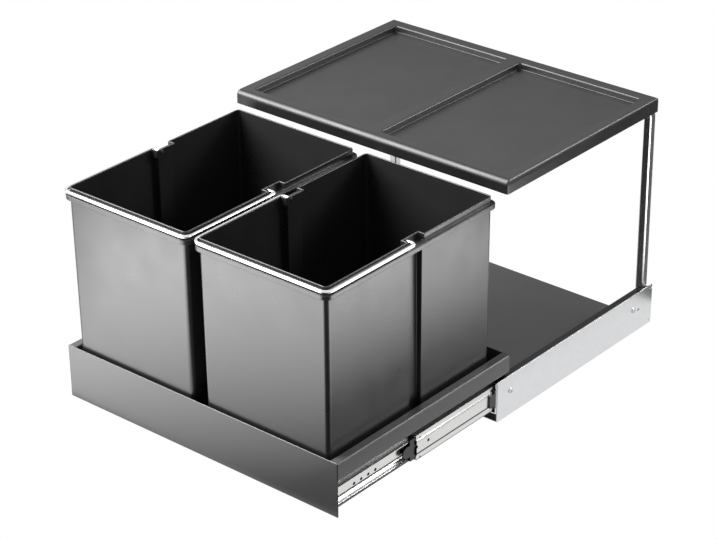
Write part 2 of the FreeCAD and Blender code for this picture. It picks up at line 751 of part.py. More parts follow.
def make_bin(centre_x):
    """A moulded bin: drafted walls, a collar, an outward ledge with a skirt, and pivot pockets."""
    half_x = bin_width / 2.0
    half_y = bin_depth / 2.0
    shell = bin_body(centre_x, bin_bottom, bin_collar_top, 0.0)
    reach = bin_ledge_overhang
    ledge = rounded_prism(centre_x - half_x - reach, centre_x + half_x + reach,
                          bin_centre_y - half_y - reach, bin_centre_y + half_y + reach,
                          bin_corner_radius + reach, ledge_bottom, ledge_top)
    reach = bin_ledge_overhang - bin_wall
    under = rounded_prism(centre_x - half_x - reach, centre_x + half_x + reach,
                          bin_centre_y - half_y - reach, bin_centre_y + half_y + reach,
                          bin_corner_radius + reach, ledge_bottom - 1, ledge_top - bin_ledge_thickness)
    shell = shell.fuse(ledge.cut(under))
    cavity = bin_body(centre_x, bin_bottom + bin_floor, bin_collar_top + 1, -bin_wall)
    pocket_floor = ledge_top - bin_ledge_thickness
    for _, side in SIDES:
        cavity = cavity.cut(pocket_block(centre_x, side, bin_wall, pocket_floor, bin_collar_top + 2))
        cavity = cavity.cut(groove_block(centre_x, side, bin_wall, bin_bottom, ledge_top))
        shell = shell.cut(collar_gap(centre_x, side))
        shell = shell.cut(groove_block(centre_x, side, 0.0, bin_bottom - 1, pocket_floor)
                          .common(bin_body(centre_x, bin_bottom - 1, ledge_top, 0.5)))
    shell = shell.cut(cavity)
    hole_radius = bail_wire / 2.0 + bail_pivot_clearance
    for _, side in SIDES:
        start = centre_x + side * (pocket_wall_inner - 1)
        shell = shell.cut(rod(hole_radius, (start, bin_centre_y, pivot_height), (side, 0, 0), bin_wall + 2))
    return shell.removeSplitter()


def collar_gap(centre_x, side):
    """Cutter that opens the collar outwards at a pivot pocket, above the ledge."""
    return pocket_block(centre_x, side, 0.0, ledge_top, bin_collar_top + 1)


def bail_path(centre_x):
    """The wire's centreline: from one pivot, forward, across the front and back."""
    tip = pocket_wall_inner - bail_pin_overrun
    bend = bail_eye_bend
    front = bin_centre_y - bail_reach
    y = bin_centre_y
    z = pivot_height

    def at(x, along):
        return V(centre_x + x, along, z)

    def arc(cx, cy, radius, start):
        spread = [math.radians(start + step) for step in (0.0, 45.0, 90.0)]
        return Part.Arc(*[at(cx + radius * math.cos(a), cy + radius * math.sin(a)) for a in spread]).toShape()

    left = [Part.makeLine(at(-tip, y), at(-bail_half + bend, y)),
            arc(-bail_half + bend, y - bend, bend, 90.0),
            Part.makeLine(at(-bail_half, y - bend), at(-bail_half, front + bail_corner)),
            arc(-bail_half + bail_corner, front + bail_corner, bail_corner, 180.0)]
    right = [Part.makeLine(at(-bail_half + bail_corner, front), at(bail_half - bail_corner, front)),
             arc(bail_half - bail_corner, front + bail_corner, bail_corner, 270.0),
             Part.makeLine(at(bail_half, front + bail_corner), at(bail_half, y - bend)),
             arc(bail_half - bend, y - bend, bend, 0.0),
             Part.makeLine(at(bail_half - bend, y), at(tip, y))]
    return Part.Wire(left + right)


def make_bail(centre_x):
    """A wire bail that lies forward on the bin's ledge."""
    path = bail_path(centre_x)
    start = V(centre_x - (pocket_wall_inner - bail_pin_overrun), bin_centre_y, pivot_height)
    ring = Part.Wire(Part.makeCircle(bail_wire / 2.0, start, V(1, 0, 0)))
    return path.makePipeShell([ring], True, False)


# ---------------------------------------------------------------- the whole part
def as_list(made):
    return made if isinstance(made, list) else [made]


def make_parts():
    """Every node's name with its solids."""
    parts = {
        "base_floor": make_base_floor(),
        "slide_screws": make_slide_screws(),
        "lid": make_lid(),
        "lid_screws": make_lid_screws(),
        "post_screws": make_post_screws(),
        "arm_plugs": make_arm_plugs(),
        "tray_pan": make_tray_pan(),
        "tray_front_panel": make_tray_front(),
        "tray_rear_panel": make_tray_rear(),
        "tray_slide_screws": make_inner_screws(),
    }
    for name, side in SIDES:
        parts["side_plate_" + name] = make_side_plate(side)
        parts["post_" + name] = make_post(side)
        parts["slide_outer_" + name] = make_slide_outer(side)
        parts["slide_bumper_" + name] = make_slide_bumper(side)
        parts["slide_middle_" + name] = make_slide_middle(side)
        parts["slide_inner_" + name] = make_slide_inner(side)
        parts["outer_cage_" + name] = make_outer_cage(side)
        parts["inner_cage_" + name] = make_inner_cage(side)
        parts["outer_balls_" + name] = make_balls(outer_balls(side), outer_ball / 2.0)
        parts["inner_balls_" + name] = make_balls(inner_balls(side), inner_ball / 2.0)
        parts["bin_" + name] = make_bin(side * bin_pitch / 2.0)
        parts["bail_" + name] = make_bail(side * bin_pitch / 2.0)
    return {name: as_list(made) for name, made in parts.items()}


def main():
    os.makedirs("parts", exist_ok=True)
    for name, solids in make_parts().items():
        for solid in solids:
            if not solid.isValid() or len(solid.Solids) != 1:
                raise RuntimeError(name + " is not one valid solid")
        shape = solids[0] if len(solids) == 1 else Part.makeCompound(solids)
        shape.exportStep("parts/" + name + ".step")
        volume = sum(solid.Volume for solid in solids) / 1000.0
        print(name, len(solids), "solids", round(volume, 2), "cm3")


main()
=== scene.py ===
"""A pull-out waste unit, drawn out: eased and rounded pieces, their finishes, and a pale studio."""
import json
import math

import bmesh
import bpy
from mathutils import Matrix, Vector

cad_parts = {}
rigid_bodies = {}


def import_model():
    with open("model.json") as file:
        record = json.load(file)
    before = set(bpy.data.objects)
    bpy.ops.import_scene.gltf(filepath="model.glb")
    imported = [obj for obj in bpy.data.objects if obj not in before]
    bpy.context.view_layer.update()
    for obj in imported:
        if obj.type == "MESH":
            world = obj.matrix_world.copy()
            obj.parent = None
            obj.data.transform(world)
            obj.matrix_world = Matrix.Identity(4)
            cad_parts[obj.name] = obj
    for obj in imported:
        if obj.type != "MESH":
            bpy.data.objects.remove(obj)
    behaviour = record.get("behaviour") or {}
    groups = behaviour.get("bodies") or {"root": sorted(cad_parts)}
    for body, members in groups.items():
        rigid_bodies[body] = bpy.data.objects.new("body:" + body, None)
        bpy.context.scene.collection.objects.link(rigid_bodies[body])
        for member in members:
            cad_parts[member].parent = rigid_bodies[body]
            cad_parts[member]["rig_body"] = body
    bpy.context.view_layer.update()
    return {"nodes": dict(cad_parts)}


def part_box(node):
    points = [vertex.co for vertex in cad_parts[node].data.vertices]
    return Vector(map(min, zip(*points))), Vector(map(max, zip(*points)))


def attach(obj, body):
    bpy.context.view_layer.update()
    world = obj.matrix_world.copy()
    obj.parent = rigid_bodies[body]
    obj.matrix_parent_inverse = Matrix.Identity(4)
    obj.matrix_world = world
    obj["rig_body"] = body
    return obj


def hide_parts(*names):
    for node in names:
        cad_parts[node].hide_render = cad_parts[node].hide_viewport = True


bl_info = {
    "name": "Pull-out Waste Unit",
    "version": (1, 0, 0),
    "blender": (4, 5, 0),
    "location": "3D View > Sidebar > Waste Unit",
    "description": "Builds the two bins, lid, sheets, slides and small parts of a pull-out waste unit",
    "category": "Object",
}

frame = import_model()

MM = 0.001
SIDES = ("left", "right")
MERGE_DISTANCE = 0.002 * MM
QUARTER_TURN_STEPS = 4          # faces round a rounded edge
CORNER_STEPS = 8                # faces round a corner in plan
BEVEL_SEGMENTS = 2
SORTED_DECIMALS = 4             # of a metre: solids that lie this close count as level
FLAT_ANGLE = 0.3                # degrees: CAD triangles that turn less are one flat face
SHARP_ANGLE = 50.0              # degrees: edges that turn more are eased, or kept sharp
FOLDED_SHARP_ANGLE = 60.0
MOULDED_SHARP_ANGLE = 60.0
SCREW_SHARP_ANGLE = 35.0
NODES = frame["nodes"]


# ---------------------------------------------------------------- small helpers
def srgb(code):
    """Linear RGB of an sRGB colour written as #RRGGBB."""
    channels = [int(code[start:start + 2], 16) / 255.0 for start in (1, 3, 5)]
    return tuple(c / 12.92 if c <= 0.04045 else ((c + 0.055) / 1.055) ** 2.4 for c in channels)


def add_node(tree, kind, settings=None, feeds=None):
    """Adds a node: settings are its properties, feeds are values or output sockets for its inputs."""
    node = tree.nodes.new(kind)
    for key, value in (settings or {}).items():
        setattr(node, key, value)
    for key, value in (feeds or {}).items():
        if isinstance(value, bpy.types.NodeSocket):
            tree.links.new(value, node.inputs[key])
        else:
            node.inputs[key].default_value = value
    return node


def mesh_from(work, name):
    """A new mesh from a bmesh, which is freed."""
    mesh = bpy.data.meshes.new(name)
    work.to_mesh(mesh)
    work.free()
    return mesh


def evaluated_mesh(carrier):
    """The plain mesh that an object's modifiers make; the object is deleted."""
    bpy.context.view_layer.update()
    evaluated = carrier.evaluated_get(bpy.context.evaluated_depsgraph_get())
    made = bpy.data.meshes.new_from_object(evaluated)
    bpy.data.objects.remove(carrier)
    return made


def carrier_of(mesh):
    """An object that holds a mesh while its modifiers run."""
    carrier = bpy.data.objects.new("carrier", mesh)
    bpy.context.scene.collection.objects.link(carrier)
    return carrier


def with_modifiers(mesh, modifiers):
    """The mesh after modifiers, each given as its type and settings."""
    carrier = carrier_of(mesh)
    for kind, settings in modifiers:
        modifier = carrier.modifiers.new(kind.title(), kind)
        for key, value in settings.items():
            setattr(modifier, key, value)
    return evaluated_mesh(carrier)


def shaded(mesh, sharp_angle=SHARP_ANGLE):
    """The mesh shaded smooth, with flat faces kept flat beside their rounded edges."""
    mesh.shade_smooth()
    mesh.set_sharp_from_angle(angle=math.radians(sharp_angle))
    return with_modifiers(mesh, [("WEIGHTED_NORMAL", {"keep_sharp": True})])


def stand_for(node, mesh, finish, suffix):
    """Makes a mesh the visible piece for a CAD node, on that node's body and with the given finish."""
    piece = bpy.data.objects.new(f"{node}_{suffix}", mesh)
    bpy.context.scene.collection.objects.link(piece)
    mesh.materials.clear()
    mesh.materials.append(finish)
    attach(piece, NODES[node]["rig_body"])
    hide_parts(node)
    return piece


def dress(node, finish):
    """Gives a CAD node that keeps its own shape its finish."""
    NODES[node].data.materials.clear()
    NODES[node].data.materials.append(finish)


# ---------------------------------------------------------------- reading the frame
def merged(node):
    """A bmesh of a CAD node with its loose triangles joined."""
    source = NODES[node].data
    plain = bpy.data.meshes.new(node)
    plain.from_pydata([v.co for v in source.vertices], [], [p.vertices for p in source.polygons])
    work = bmesh.new()
    work.from_mesh(plain)
    bpy.data.meshes.remove(plain)
    bmesh.ops.remove_doubles(work, verts=work.verts, dist=MERGE_DISTANCE)
    return work


def solids(node):
    """Lowest and highest corner of each separate solid of a CAD node."""
    work = merged(node)
    left = set(work.verts)
    boxes = []
    while left:
        reached = [left.pop()]
        for vert in reached:
            for edge in vert.link_edges:
                other = edge.other_vert(vert)
                if other in left:
                    left.remove(other)
                    reached.append(other)
        corners = [[pick(v.co[axis] for v in reached) for axis in range(3)] for pick in (min, max)]
        boxes.append((Vector(corners[0]), Vector(corners[1])))
    work.free()
    return sorted(boxes, key=lambda box: tuple(round(c, SORTED_DECIMALS) for c in box[0]))


def eased_copy(node, radius):
    """A copy of a CAD node with its flat faces whole and its edges eased to a radius."""
    work = merged(node)
    bmesh.ops.dissolve_limit(work, angle_limit=math.radians(FLAT_ANGLE), verts=work.verts, edges=work.edges)
    eased = with_modifiers(mesh_from(work, node),
                           [("BEVEL", {"width": radius, "segments": BEVEL_SEGMENTS, "limit_method": "ANGLE",
                                       "angle_limit": math.radians(SHARP_ANGLE), "use_clamp_overlap": True})])
    return shaded(eased)


# ---------------------------------------------------------------- lofted outlines
def arc(centre_a, centre_b, radius_a, radius_b, start, steps):
    """Points of a quarter turn about a centre, from a start angle in degrees."""
    angles = [math.radians(start + 90.0 * step / steps) for step in range(steps + 1)]
    return [(centre_a + radius_a * math.cos(a), centre_b + radius_b * math.sin(a)) for a in angles]


def rounded_ring(x0, x1, y0, y1, radius, z):
    """A closed ring: a rectangle with round corners, counter-clockwise seen from above."""
    ring = []
    for cx, cy, start in ((x1 - radius, y1 - radius, 0.0), (x0 + radius, y1 - radius, 90.0),
                          (x0 + radius, y0 + radius, 180.0), (x1 - radius, y0 + radius, 270.0)):
        ring += [(x, y, z) for x, y in arc(cx, cy, radius, radius, start, CORNER_STEPS)]
    return ring


def skin(work, rings):
    """Faces between closed rings of equal length; returns the rings' vertices."""
    made = [[work.verts.new(point) for point in ring] for ring in rings]
    for lower, upper in zip(made, made[1:]):
        for here in range(len(lower)):
            there = (here + 1) % len(lower)
            work.faces.new((lower[here], lower[there], upper[there], upper[here]))
    return made


def closed_solid(work, name):
    """The finished mesh of a closed shell, its faces turned outwards."""
    bmesh.ops.remove_doubles(work, verts=work.verts, dist=MERGE_DISTANCE)
    bmesh.ops.dissolve_degenerate(work, edges=work.edges, dist=MERGE_DISTANCE)
    bmesh.ops.recalc_face_normals(work, faces=work.faces)
    return mesh_from(work, name)


def settings_group(name, description, group):
    """A pointer to a group of properties."""
    return bpy.props.PointerProperty(name=name, description=description, type=group)


def length(name, description, millimetres):
    """A length property, its default in millimetres."""
    return bpy.props.FloatProperty(name=name, description=description, default=millimetres * MM,
                                   min=0.0, unit="LENGTH", precision=4)


def colour(name, description, code):
    """A colour property, its default as an sRGB code."""
    return bpy.props.FloatVectorProperty(name=name, description=description, default=srgb(code),
                                         size=3, min=0.0, max=1.0, subtype="COLOR")


# ---------------------------------------------------------------- settings
class WASTEUNIT_PG_bins(bpy.types.PropertyGroup):
    """Sizes of the moulded bins."""
    wall: length("Wall", "Thickness of the side walls", 2.0)
    floor: length("Floor", "Thickness of the floor", 2.4)
    draft: length("Draft", "How far each side narrows from collar to foot", 1.7)
    corner: length("Corner radius", "Outside radius of the upright corners", 6.5)
    collar: length("Collar", "Height of the collar above the ledge", 8.8)
    overhang: length("Ledge overhang", "How far the ledge stands out from the wall", 5.6)
    ledge: length("Ledge thickness", "Thickness of the ledge", 2.0)
    skirt: length("Ledge skirt", "Height of the ledge's outer face", 6.6)
    pocket_depth: length("Pocket depth", "How far the collar is set in at each pivot", 11.3)
    pocket_front: length("Pocket front", "Reach of the pocket ahead of the pivot", 7.5)
    pocket_rear: length("Pocket rear", "Reach of the pocket behind the pivot", 21.5)
    groove_depth: length("Groove depth", "Depth of the upright groove in each side", 8.0)
    groove_width: length("Groove width", "Width of the upright groove", 21.8)
    groove_offset: length("Groove offset", "Groove's middle behind the pivot", 6.4)
    edge: length("Edge radius", "Rounding of the collar and the ledge", 0.95)
    foot: length("Foot radius", "Rounding between the walls and the floor", 4.0)
    notch: length("Notch radius", "Rounding in plan of pockets and grooves", 0.8)
    colour: colour("Colour", "Colour of the bins' plastic", "#252526")


class WASTEUNIT_PG_lid(bpy.types.PropertyGroup):
    """Sizes of the moulded shelf lid."""
    wall: length("Wall", "Thickness of the skirt and the recess floors", 2.4)
    corner: length("Corner radius", "Radius of the corners in plan", 3.0)
    front_edge: length("Front edge radius", "Rounding of the upper front edge", 8.0)
    edge: length("Edge radius", "Rounding of the other upper edges", 2.6)
    rim: length("Rim", "Width of the rim at the sides", 18.2)
    rim_across: length("Front and rear rim", "Width of the rim at the front and the back", 17.5)
    rib: length("Rib", "Width of the rib between the recesses", 21.0)
    depth: length("Recess depth", "Depth of the recesses", 9.1)
    recess_corner: length("Recess corner", "Radius of the recess corners", 4.0)
    recess_draft: length("Recess draft", "How far a recess wall leans in", 0.7)
    floor_radius: length("Floor radius", "Rounding at the foot of the recess wall", 1.0)
    colour: colour("Colour", "Colour of the lid's plastic", "#121213")


class WASTEUNIT_PG_sheets(bpy.types.PropertyGroup):
    """Sizes of the folded and cut sheets."""
    tray_sheet: length("Tray sheet", "Thickness of the tray's sheet", 1.0)
    bend: length("Bend radius", "Inside radius of the bends", 1.5)
    lip: length("Lip width", "Tray wall to the outer face of the skirt", 13.0)
    skirt: length("Skirt height", "Height of the tray's down-turned skirt", 23.6)
    cut_edge: length("Cut edge", "Easing of cut edges", 0.22)
    panel_edge: length("Panel edge", "Easing of the front and rear panels", 0.74)
    slide_edge: length("Slide edge", "Easing of slide members and side plates", 0.3)
    paint: colour("Paint", "Colour of the tray and the base floor", "#4C4C4D")
    panel_paint: colour("Panel paint", "Colour of the tray's front panel", "#444445")
    zinc: colour("Zinc", "Colour of the side plates", "#D8D9DA")
    bright_zinc: colour("Bright zinc", "Colour of the slides", "#D9D9D8")


class WASTEUNIT_PG_hardware(bpy.types.PropertyGroup):
    """Sizes of the wire, screws and balls."""
    wire: length("Wire", "Diameter of the bail wire", 4.5)
    eye_bend: length("Eye bend", "Bend of the wire at each pivot, on its centreline", 5.0)
    pin: length("Pin", "Wire past the outside of the bin's wall, at each pivot", 12.3)
    bail_gap: length("Bail gap", "Collar to wire", 2.05)
    slot: length("Recess slot", "Width of a screw's cross recess", 0.9)
    nickel: colour("Nickel", "Colour of the bail wire", "#E4E4E3")
    tube: colour("Tube", "Colour of the posts", "#C8C8C9")
    screw: colour("Screw", "Colour of the screws", "#C4C4C2")
    ball: colour("Ball", "Colour of the balls", "#D0D0D0")
    black: colour("Black plastic", "Colour of cages, bumpers and plugs", "#070708")


class WASTEUNIT_PG_stage(bpy.types.PropertyGroup):
    """The camera and the lights."""
    azimuth: bpy.props.FloatProperty(name="Azimuth", description="Camera's turn from the front to the right",
                                     default=0.70654, subtype="ANGLE")
    elevation: bpy.props.FloatProperty(name="Elevation", description="Camera's height above the horizon",
                                       default=0.4785, subtype="ANGLE")
    roll: bpy.props.FloatProperty(name="Roll", description="Camera's roll", default=-0.01038, subtype="ANGLE")
    place: bpy.props.FloatVectorProperty(name="Place", description="Where the camera stands", size=3,
                                         default=(1.76872, -2.08779, 1.55677), subtype="TRANSLATION")
    lens: bpy.props.FloatProperty(name="Lens", description="Focal length in millimetres on a 36 mm sensor",
                                  default=118.558, subtype="DISTANCE_CAMERA")
    key_power: bpy.props.FloatProperty(name="Key", description="Power of the high softbox in watts",
                                       default=82.0, min=0.0)
    rim_power: bpy.props.FloatProperty(name="Rim", description="Power of the rear softbox in watts",
                                       default=14.0, min=0.0)
    glow: bpy.props.FloatProperty(name="Glow", description="Strength of the glowing card before the fronts",
                                  default=8.4, min=0.0)
    ambient: bpy.props.FloatProperty(name="Ambient", description="Strength of the even room light",
                                     default=0.2, min=0.0)
    floor_size: bpy.props.FloatProperty(name="Floor", description="Side of the floor", default=40.0,
                                        unit="LENGTH")


class WASTEUNIT_PG_settings(bpy.types.PropertyGroup):
    """All the settings of the waste unit."""
    bins: settings_group("Bins", "Sizes and colour of the bins", WASTEUNIT_PG_bins)
    lid: settings_group("Lid", "Sizes and colour of the lid", WASTEUNIT_PG_lid)
    sheets: settings_group("Sheets", "Sizes and colours of the sheets", WASTEUNIT_PG_sheets)
    hardware: settings_group("Hardware", "Sizes and colours of small parts", WASTEUNIT_PG_hardware)
    stage: settings_group("Stage", "Camera and lights", WASTEUNIT_PG_stage)


# ---------------------------------------------------------------- finishes
# colour of the painted shade in the gaps between slide members
PAINTED_GAP_SHADE = srgb("#0A0A0A")
EVEN = (1.0, 1.0, 1.0)          # the stretch of a grain as long as it is wide
NOISE_RANGE = (0.3, 0.7)        # where most of a noise pattern's values lie
PLASTIC = {"IOR": 1.54}
POWDER = {"IOR": 1.5}
METAL = {"Metallic": 1.0}


def surface(name, base, kind, shades, grains, roughness, swing, depth):
    """A material whose colour, gloss and relief each follow a grain in Object coordinates.

    The kind holds the shader's own values. A grain is its size, its stretch along each axis and its
    detail; the first is None where the caller feeds the colour's Factor. Shades are the darkest and the
    lightest share of the base colour, and swing is how far the roughness falls and rises. Returns the
    material with its shader, its coordinates and the node that mixes its colour.
    """
    finish = bpy.data.materials.new(name)
    finish.use_nodes = True
    tree = finish.node_tree
    tree.nodes.clear()
    shader = add_node(tree, "ShaderNodeBsdfPrincipled", feeds=kind)
    add_node(tree, "ShaderNodeOutputMaterial", feeds={"Surface": shader.outputs["BSDF"]})
    place = add_node(tree, "ShaderNodeTexCoord").outputs["Object"]
    patterns = {None: None}
    for grain in grains:
        if grain not in patterns:
            size, stretch, detail = grain
            scaled = add_node(tree, "ShaderNodeMapping",
                              feeds={"Vector": place, "Scale": [1.0 / (size * share) for share in stretch]})
            pattern = add_node(tree, "ShaderNodeTexNoise",
                               feeds={"Vector": scaled.outputs["Vector"], "Scale": 1.0, "Detail": detail})
            patterns[grain] = pattern.outputs["Fac"]
    tone, gloss, relief = [patterns[grain] for grain in grains]
    dark, light = [tuple(min(1.0, c * shade) for c in base) + (1.0,) for shade in shades]
    tint = add_node(tree, "ShaderNodeMix", {"data_type": "RGBA"}, {6: dark, 7: light})
    if tone:
        tree.links.new(tone, tint.inputs["Factor"])
    tree.links.new(tint.outputs[2], shader.inputs["Base Color"])
    ranged = add_node(tree, "ShaderNodeMapRange",
                      feeds={"Value": gloss, "From Min": NOISE_RANGE[0], "From Max": NOISE_RANGE[1],
                             "To Min": roughness - swing[0], "To Max": roughness + swing[1]})
    tree.links.new(ranged.outputs["Result"], shader.inputs["Roughness"])
    bump = add_node(tree, "ShaderNodeBump", feeds={"Height": relief, "Strength": 1.0, "Distance": depth})
    tree.links.new(bump.outputs["Normal"], shader.inputs["Normal"])
    return finish, shader, place, tint


def moulded_plastic(name, base, roughness, grain, grain_depth):
    """Injection-moulded plastic: a spark-eroded mould leaves fine grain, cooling leaves cloudy sheen."""
    cloud = (38.0 * MM, EVEN, 2.0)
    spark = (grain, EVEN, 2.0)  # drawn coarser than the real 0.1 mm, which is too fine to show
    return surface(name, base, PLASTIC, shades=(0.94, 1.06), grains=(cloud, cloud, spark),
                   roughness=roughness, swing=(0.03, 0.03), depth=grain_depth)[0]


def powder_coated_steel(name, base, roughness):
    """Powder-coated steel: the melted powder sets as a faint orange peel with fine specks."""
    specks = (0.9 * MM, EVEN, 1.0)  # drawn coarser than the real 0.1 mm, which is too fine to show
    flow = (30.0 * MM, EVEN, 2.0)
    peel = (1.8 * MM, EVEN, 2.0)
    return surface(name, base, POWDER, shades=(0.93, 1.07), grains=(specks, flow, peel),
                   roughness=roughness, swing=(0.03, 0.03), depth=0.012 * MM)[0]


def galvanised_steel(name, base, roughness):
    """Skin-passed galvanised sheet: zinc spangle rolled nearly flat, with soft rolling streaks."""
    streaks = (1.2 * MM, (1.0, 60.0, 1.0), 2.0)  # drawn coarser than real, too fine to show
    spangle_width = 7.0 * MM
    finish, _, place, tint = surface(name, base, METAL, shades=(0.985, 1.015),
                                     grains=(None, streaks, streaks), roughness=roughness,
                                     swing=(0.03, 0.03), depth=0.0015 * MM)
    tree = finish.node_tree
    spangle = add_node(tree, "ShaderNodeTexVoronoi", feeds={"Vector": place, "Scale": 1.0 / spangle_width})
    flakes = add_node(tree, "ShaderNodeSeparateColor", feeds={"Color": spangle.outputs["Color"]})
    tree.links.new(flakes.outputs["Red"], tint.inputs["Factor"])
    return finish


def drawn_metal(name, base, roughness, stretch, line, line_depth, shade_bands=()):
    """Rolled, drawn, ground or plated metal: fine lines along the way it was worked, and painted shade.

    The painted shade lies in level bands, each given as its height, its half height and its share of dark; it
    stands in for the shade in the gaps between slide members.
    """
    lines = (line, stretch, 2.0)  # drawn coarser than real, too fine to show
    finish, shader, place, tint = surface(name, base, METAL, shades=(0.93, 1.05),
                                          grains=(lines, lines, lines), roughness=roughness,
                                          swing=(0.04, 0.05), depth=line_depth)
    tree = finish.node_tree
    height = add_node(tree, "ShaderNodeSeparateXYZ", feeds={"Vector": place}).outputs["Z"]
    shade = tint.outputs[2]
    # painted shade: dark level bands stand in for the shade in the gaps between slide members
    for level, reach, dark in shade_bands:
        inside = add_node(tree, "ShaderNodeMath", {"operation": "COMPARE"}, {0: height, 1: level, 2: reach})
        share = add_node(tree, "ShaderNodeMath", {"operation": "MULTIPLY"}, {0: inside.outputs[0], 1: dark})
        shade = add_node(tree, "ShaderNodeMix", {"data_type": "RGBA"},
                         {"Factor": share.outputs[0], 6: shade, 7: PAINTED_GAP_SHADE + (1.0,)}).outputs[2]
    tree.links.new(shade, shader.inputs["Base Color"])
    return finish


# ---------------------------------------------------------------- bins
def notched_side(side, edge_x, notch_x, y0, y1, radius):
    """One side of a bin's outline in travel order, with a rounded notch between y0 and y1."""
    depth = edge_x - notch_x
    round_x = min(radius, depth / 2.0)
    steps = QUARTER_TURN_STEPS
    entry = arc(edge_x - round_x, y0 - radius, round_x, radius, 0.0, steps)
    foot = [(notch_x + round_x - (x - notch_x - round_x), y)
            for x, y in arc(notch_x + round_x, y0 + radius, round_x, radius, 270.0, steps)]
    half = entry + foot
    mirrored = [(x, y0 + y1 - y) for x, y in reversed(half)]
    path = half + mirrored
    if side < 0:
        path = [(-x, y) for x, y in reversed(path)]
    return path


def bin_ring(bins, box, z, grow, notch=None):
    """A bin's outline at a height, grown or shrunk evenly, with its side notches."""
    centre = (box[0] + box[1]) / 2.0
    share = max(0.0, (box[1].z - z) / (box[1].z - box[0].z))
    half_x = (box[1].x - box[0].x) / 2.0 - bins.overhang - bins.draft * share + grow
    half_y = (box[1].y - box[0].y) / 2.0 - bins.overhang - bins.draft * share + grow
    radius = bins.corner + grow
    top_half = (box[1].x - box[0].x) / 2.0 - bins.overhang
    if notch == "pocket":
        notch_x = top_half - bins.pocket_depth + bins.wall + grow
        span = (-bins.pocket_front + grow, bins.pocket_rear - grow)
    elif notch == "groove":
        notch_x = top_half - bins.groove_depth + grow
        span = (bins.groove_offset - bins.groove_width / 2.0 + grow,
                bins.groove_offset + bins.groove_width / 2.0 - grow)
    else:
        notch_x = half_x
        span = (-bins.pocket_front, bins.pocket_rear)
    right = notched_side(1.0, half_x, notch_x, *span, bins.notch)
    left = notched_side(-1.0, half_x, notch_x, *span, bins.notch)
    quarter = arc(half_x - radius, half_y - radius, radius, radius, 0.0, CORNER_STEPS)
    rear = quarter + [(-x, y) for x, y in reversed(quarter)]
    path = right + rear + left + [(-x, -y) for x, y in rear]
    return [(centre.x + x, centre.y + y, z) for x, y in path]


def quarter_rings(bins, box, z, grow, turn_z, turn_grow, notch, first):
    """Rings round an edge: from level z and grow, a quarter ellipse to z + turn_z and grow + turn_grow.

    With first set to "grow" the outline changes width first, else it changes height first.
    """
    rings = []
    for step in range(1, QUARTER_TURN_STEPS + 1):
        angle = math.radians(90.0 * step / QUARTER_TURN_STEPS)
        early, late = math.sin(angle), 1.0 - math.cos(angle)
        share_grow, share_z = (early, late) if first == "grow" else (late, early)
        rings.append(bin_ring(bins, box, z + turn_z * share_z, grow + turn_grow * share_grow, notch))
    return rings


FILLET_SHARE = 0.6              # of the edge radius, where the collar meets the ledge
WALL_RING = 1.2 * MM            # below the ledge, so that the wall's shading stays flat


def bin_mesh(bins, node):
    """A moulded bin: foot, drafted walls with a groove, skirted ledge, collar with pockets, inside."""
    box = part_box(node)
    foot_z, top = box[0].z, box[1].z
    ledge = top - bins.collar
    under = ledge - bins.ledge
    skirt_foot = ledge - bins.skirt
    edge = bins.edge
    inner_reach = bins.overhang - bins.ledge
    foot = bins.foot
    fillet = edge * FILLET_SHARE
    rings = [bin_ring(bins, box, foot_z, -foot, "groove")]
    rings += quarter_rings(bins, box, foot_z, -foot, foot, foot, "groove", "grow")
    rings.append(bin_ring(bins, box, under - WALL_RING, 0.0, "groove"))
    rings.append(bin_ring(bins, box, under, 0.0, "groove"))
    rings.append(bin_ring(bins, box, under, inner_reach))
    inner_edge = edge / 2.0
    inner_foot = skirt_foot + inner_edge
    rings.append(bin_ring(bins, box, inner_foot, inner_reach))
    rings += quarter_rings(bins, box, inner_foot, inner_reach, -inner_edge, inner_edge, None, "z")
    rings.append(bin_ring(bins, box, skirt_foot, bins.overhang - edge))
    rings += quarter_rings(bins, box, skirt_foot, bins.overhang - edge, edge, edge, None, "grow")
    rings.append(bin_ring(bins, box, ledge - edge, bins.overhang))
    rings += quarter_rings(bins, box, ledge - edge, bins.overhang, edge, -edge, None, "z")
    rings.append(bin_ring(bins, box, ledge, fillet, "pocket"))
    rings += quarter_rings(bins, box, ledge, fillet, fillet, -fillet, "pocket", "grow")
    rings.append(bin_ring(bins, box, top - edge, 0.0, "pocket"))
    rings += quarter_rings(bins, box, top - edge, 0.0, edge, -edge, "pocket", "z")
    rings.append(bin_ring(bins, box, top, -bins.wall + edge, "pocket"))
    rings += quarter_rings(bins, box, top, -bins.wall + edge, -edge, -edge, "pocket", "grow")
    rings.append(bin_ring(bins, box, under, -bins.wall, "pocket"))
    rings.append(bin_ring(bins, box, under, -bins.wall, "groove"))
    inside = foot_z + bins.floor
    rings.append(bin_ring(bins, box, inside + foot, -bins.wall, "groove"))
    rings += quarter_rings(bins, box, inside + foot, -bins.wall, -foot, -foot, "groove", "z")
    work = bmesh.new()
    made = skin(work, rings)
    work.faces.new(made[0])
    work.faces.new(made[-1])
    return closed_solid(work, node)


class WASTEUNIT_OT_bins(bpy.types.Operator):
    """Makes the two moulded bins."""
    bl_idname = "waste_unit.bins"
    bl_label = "Bins"

    def execute(self, context):
        bins = context.scene.waste_unit.bins
        finish = moulded_plastic("Anthracite moulded ABS", bins.colour, roughness=0.3, grain=0.9 * MM,
                                 grain_depth=0.004 * MM)
        for name in SIDES:
            mesh = shaded(bin_mesh(bins, "bin_" + name), MOULDED_SHARP_ANGLE)
            stand_for("bin_" + name, mesh, finish, "moulding")
        return {"FINISHED"}


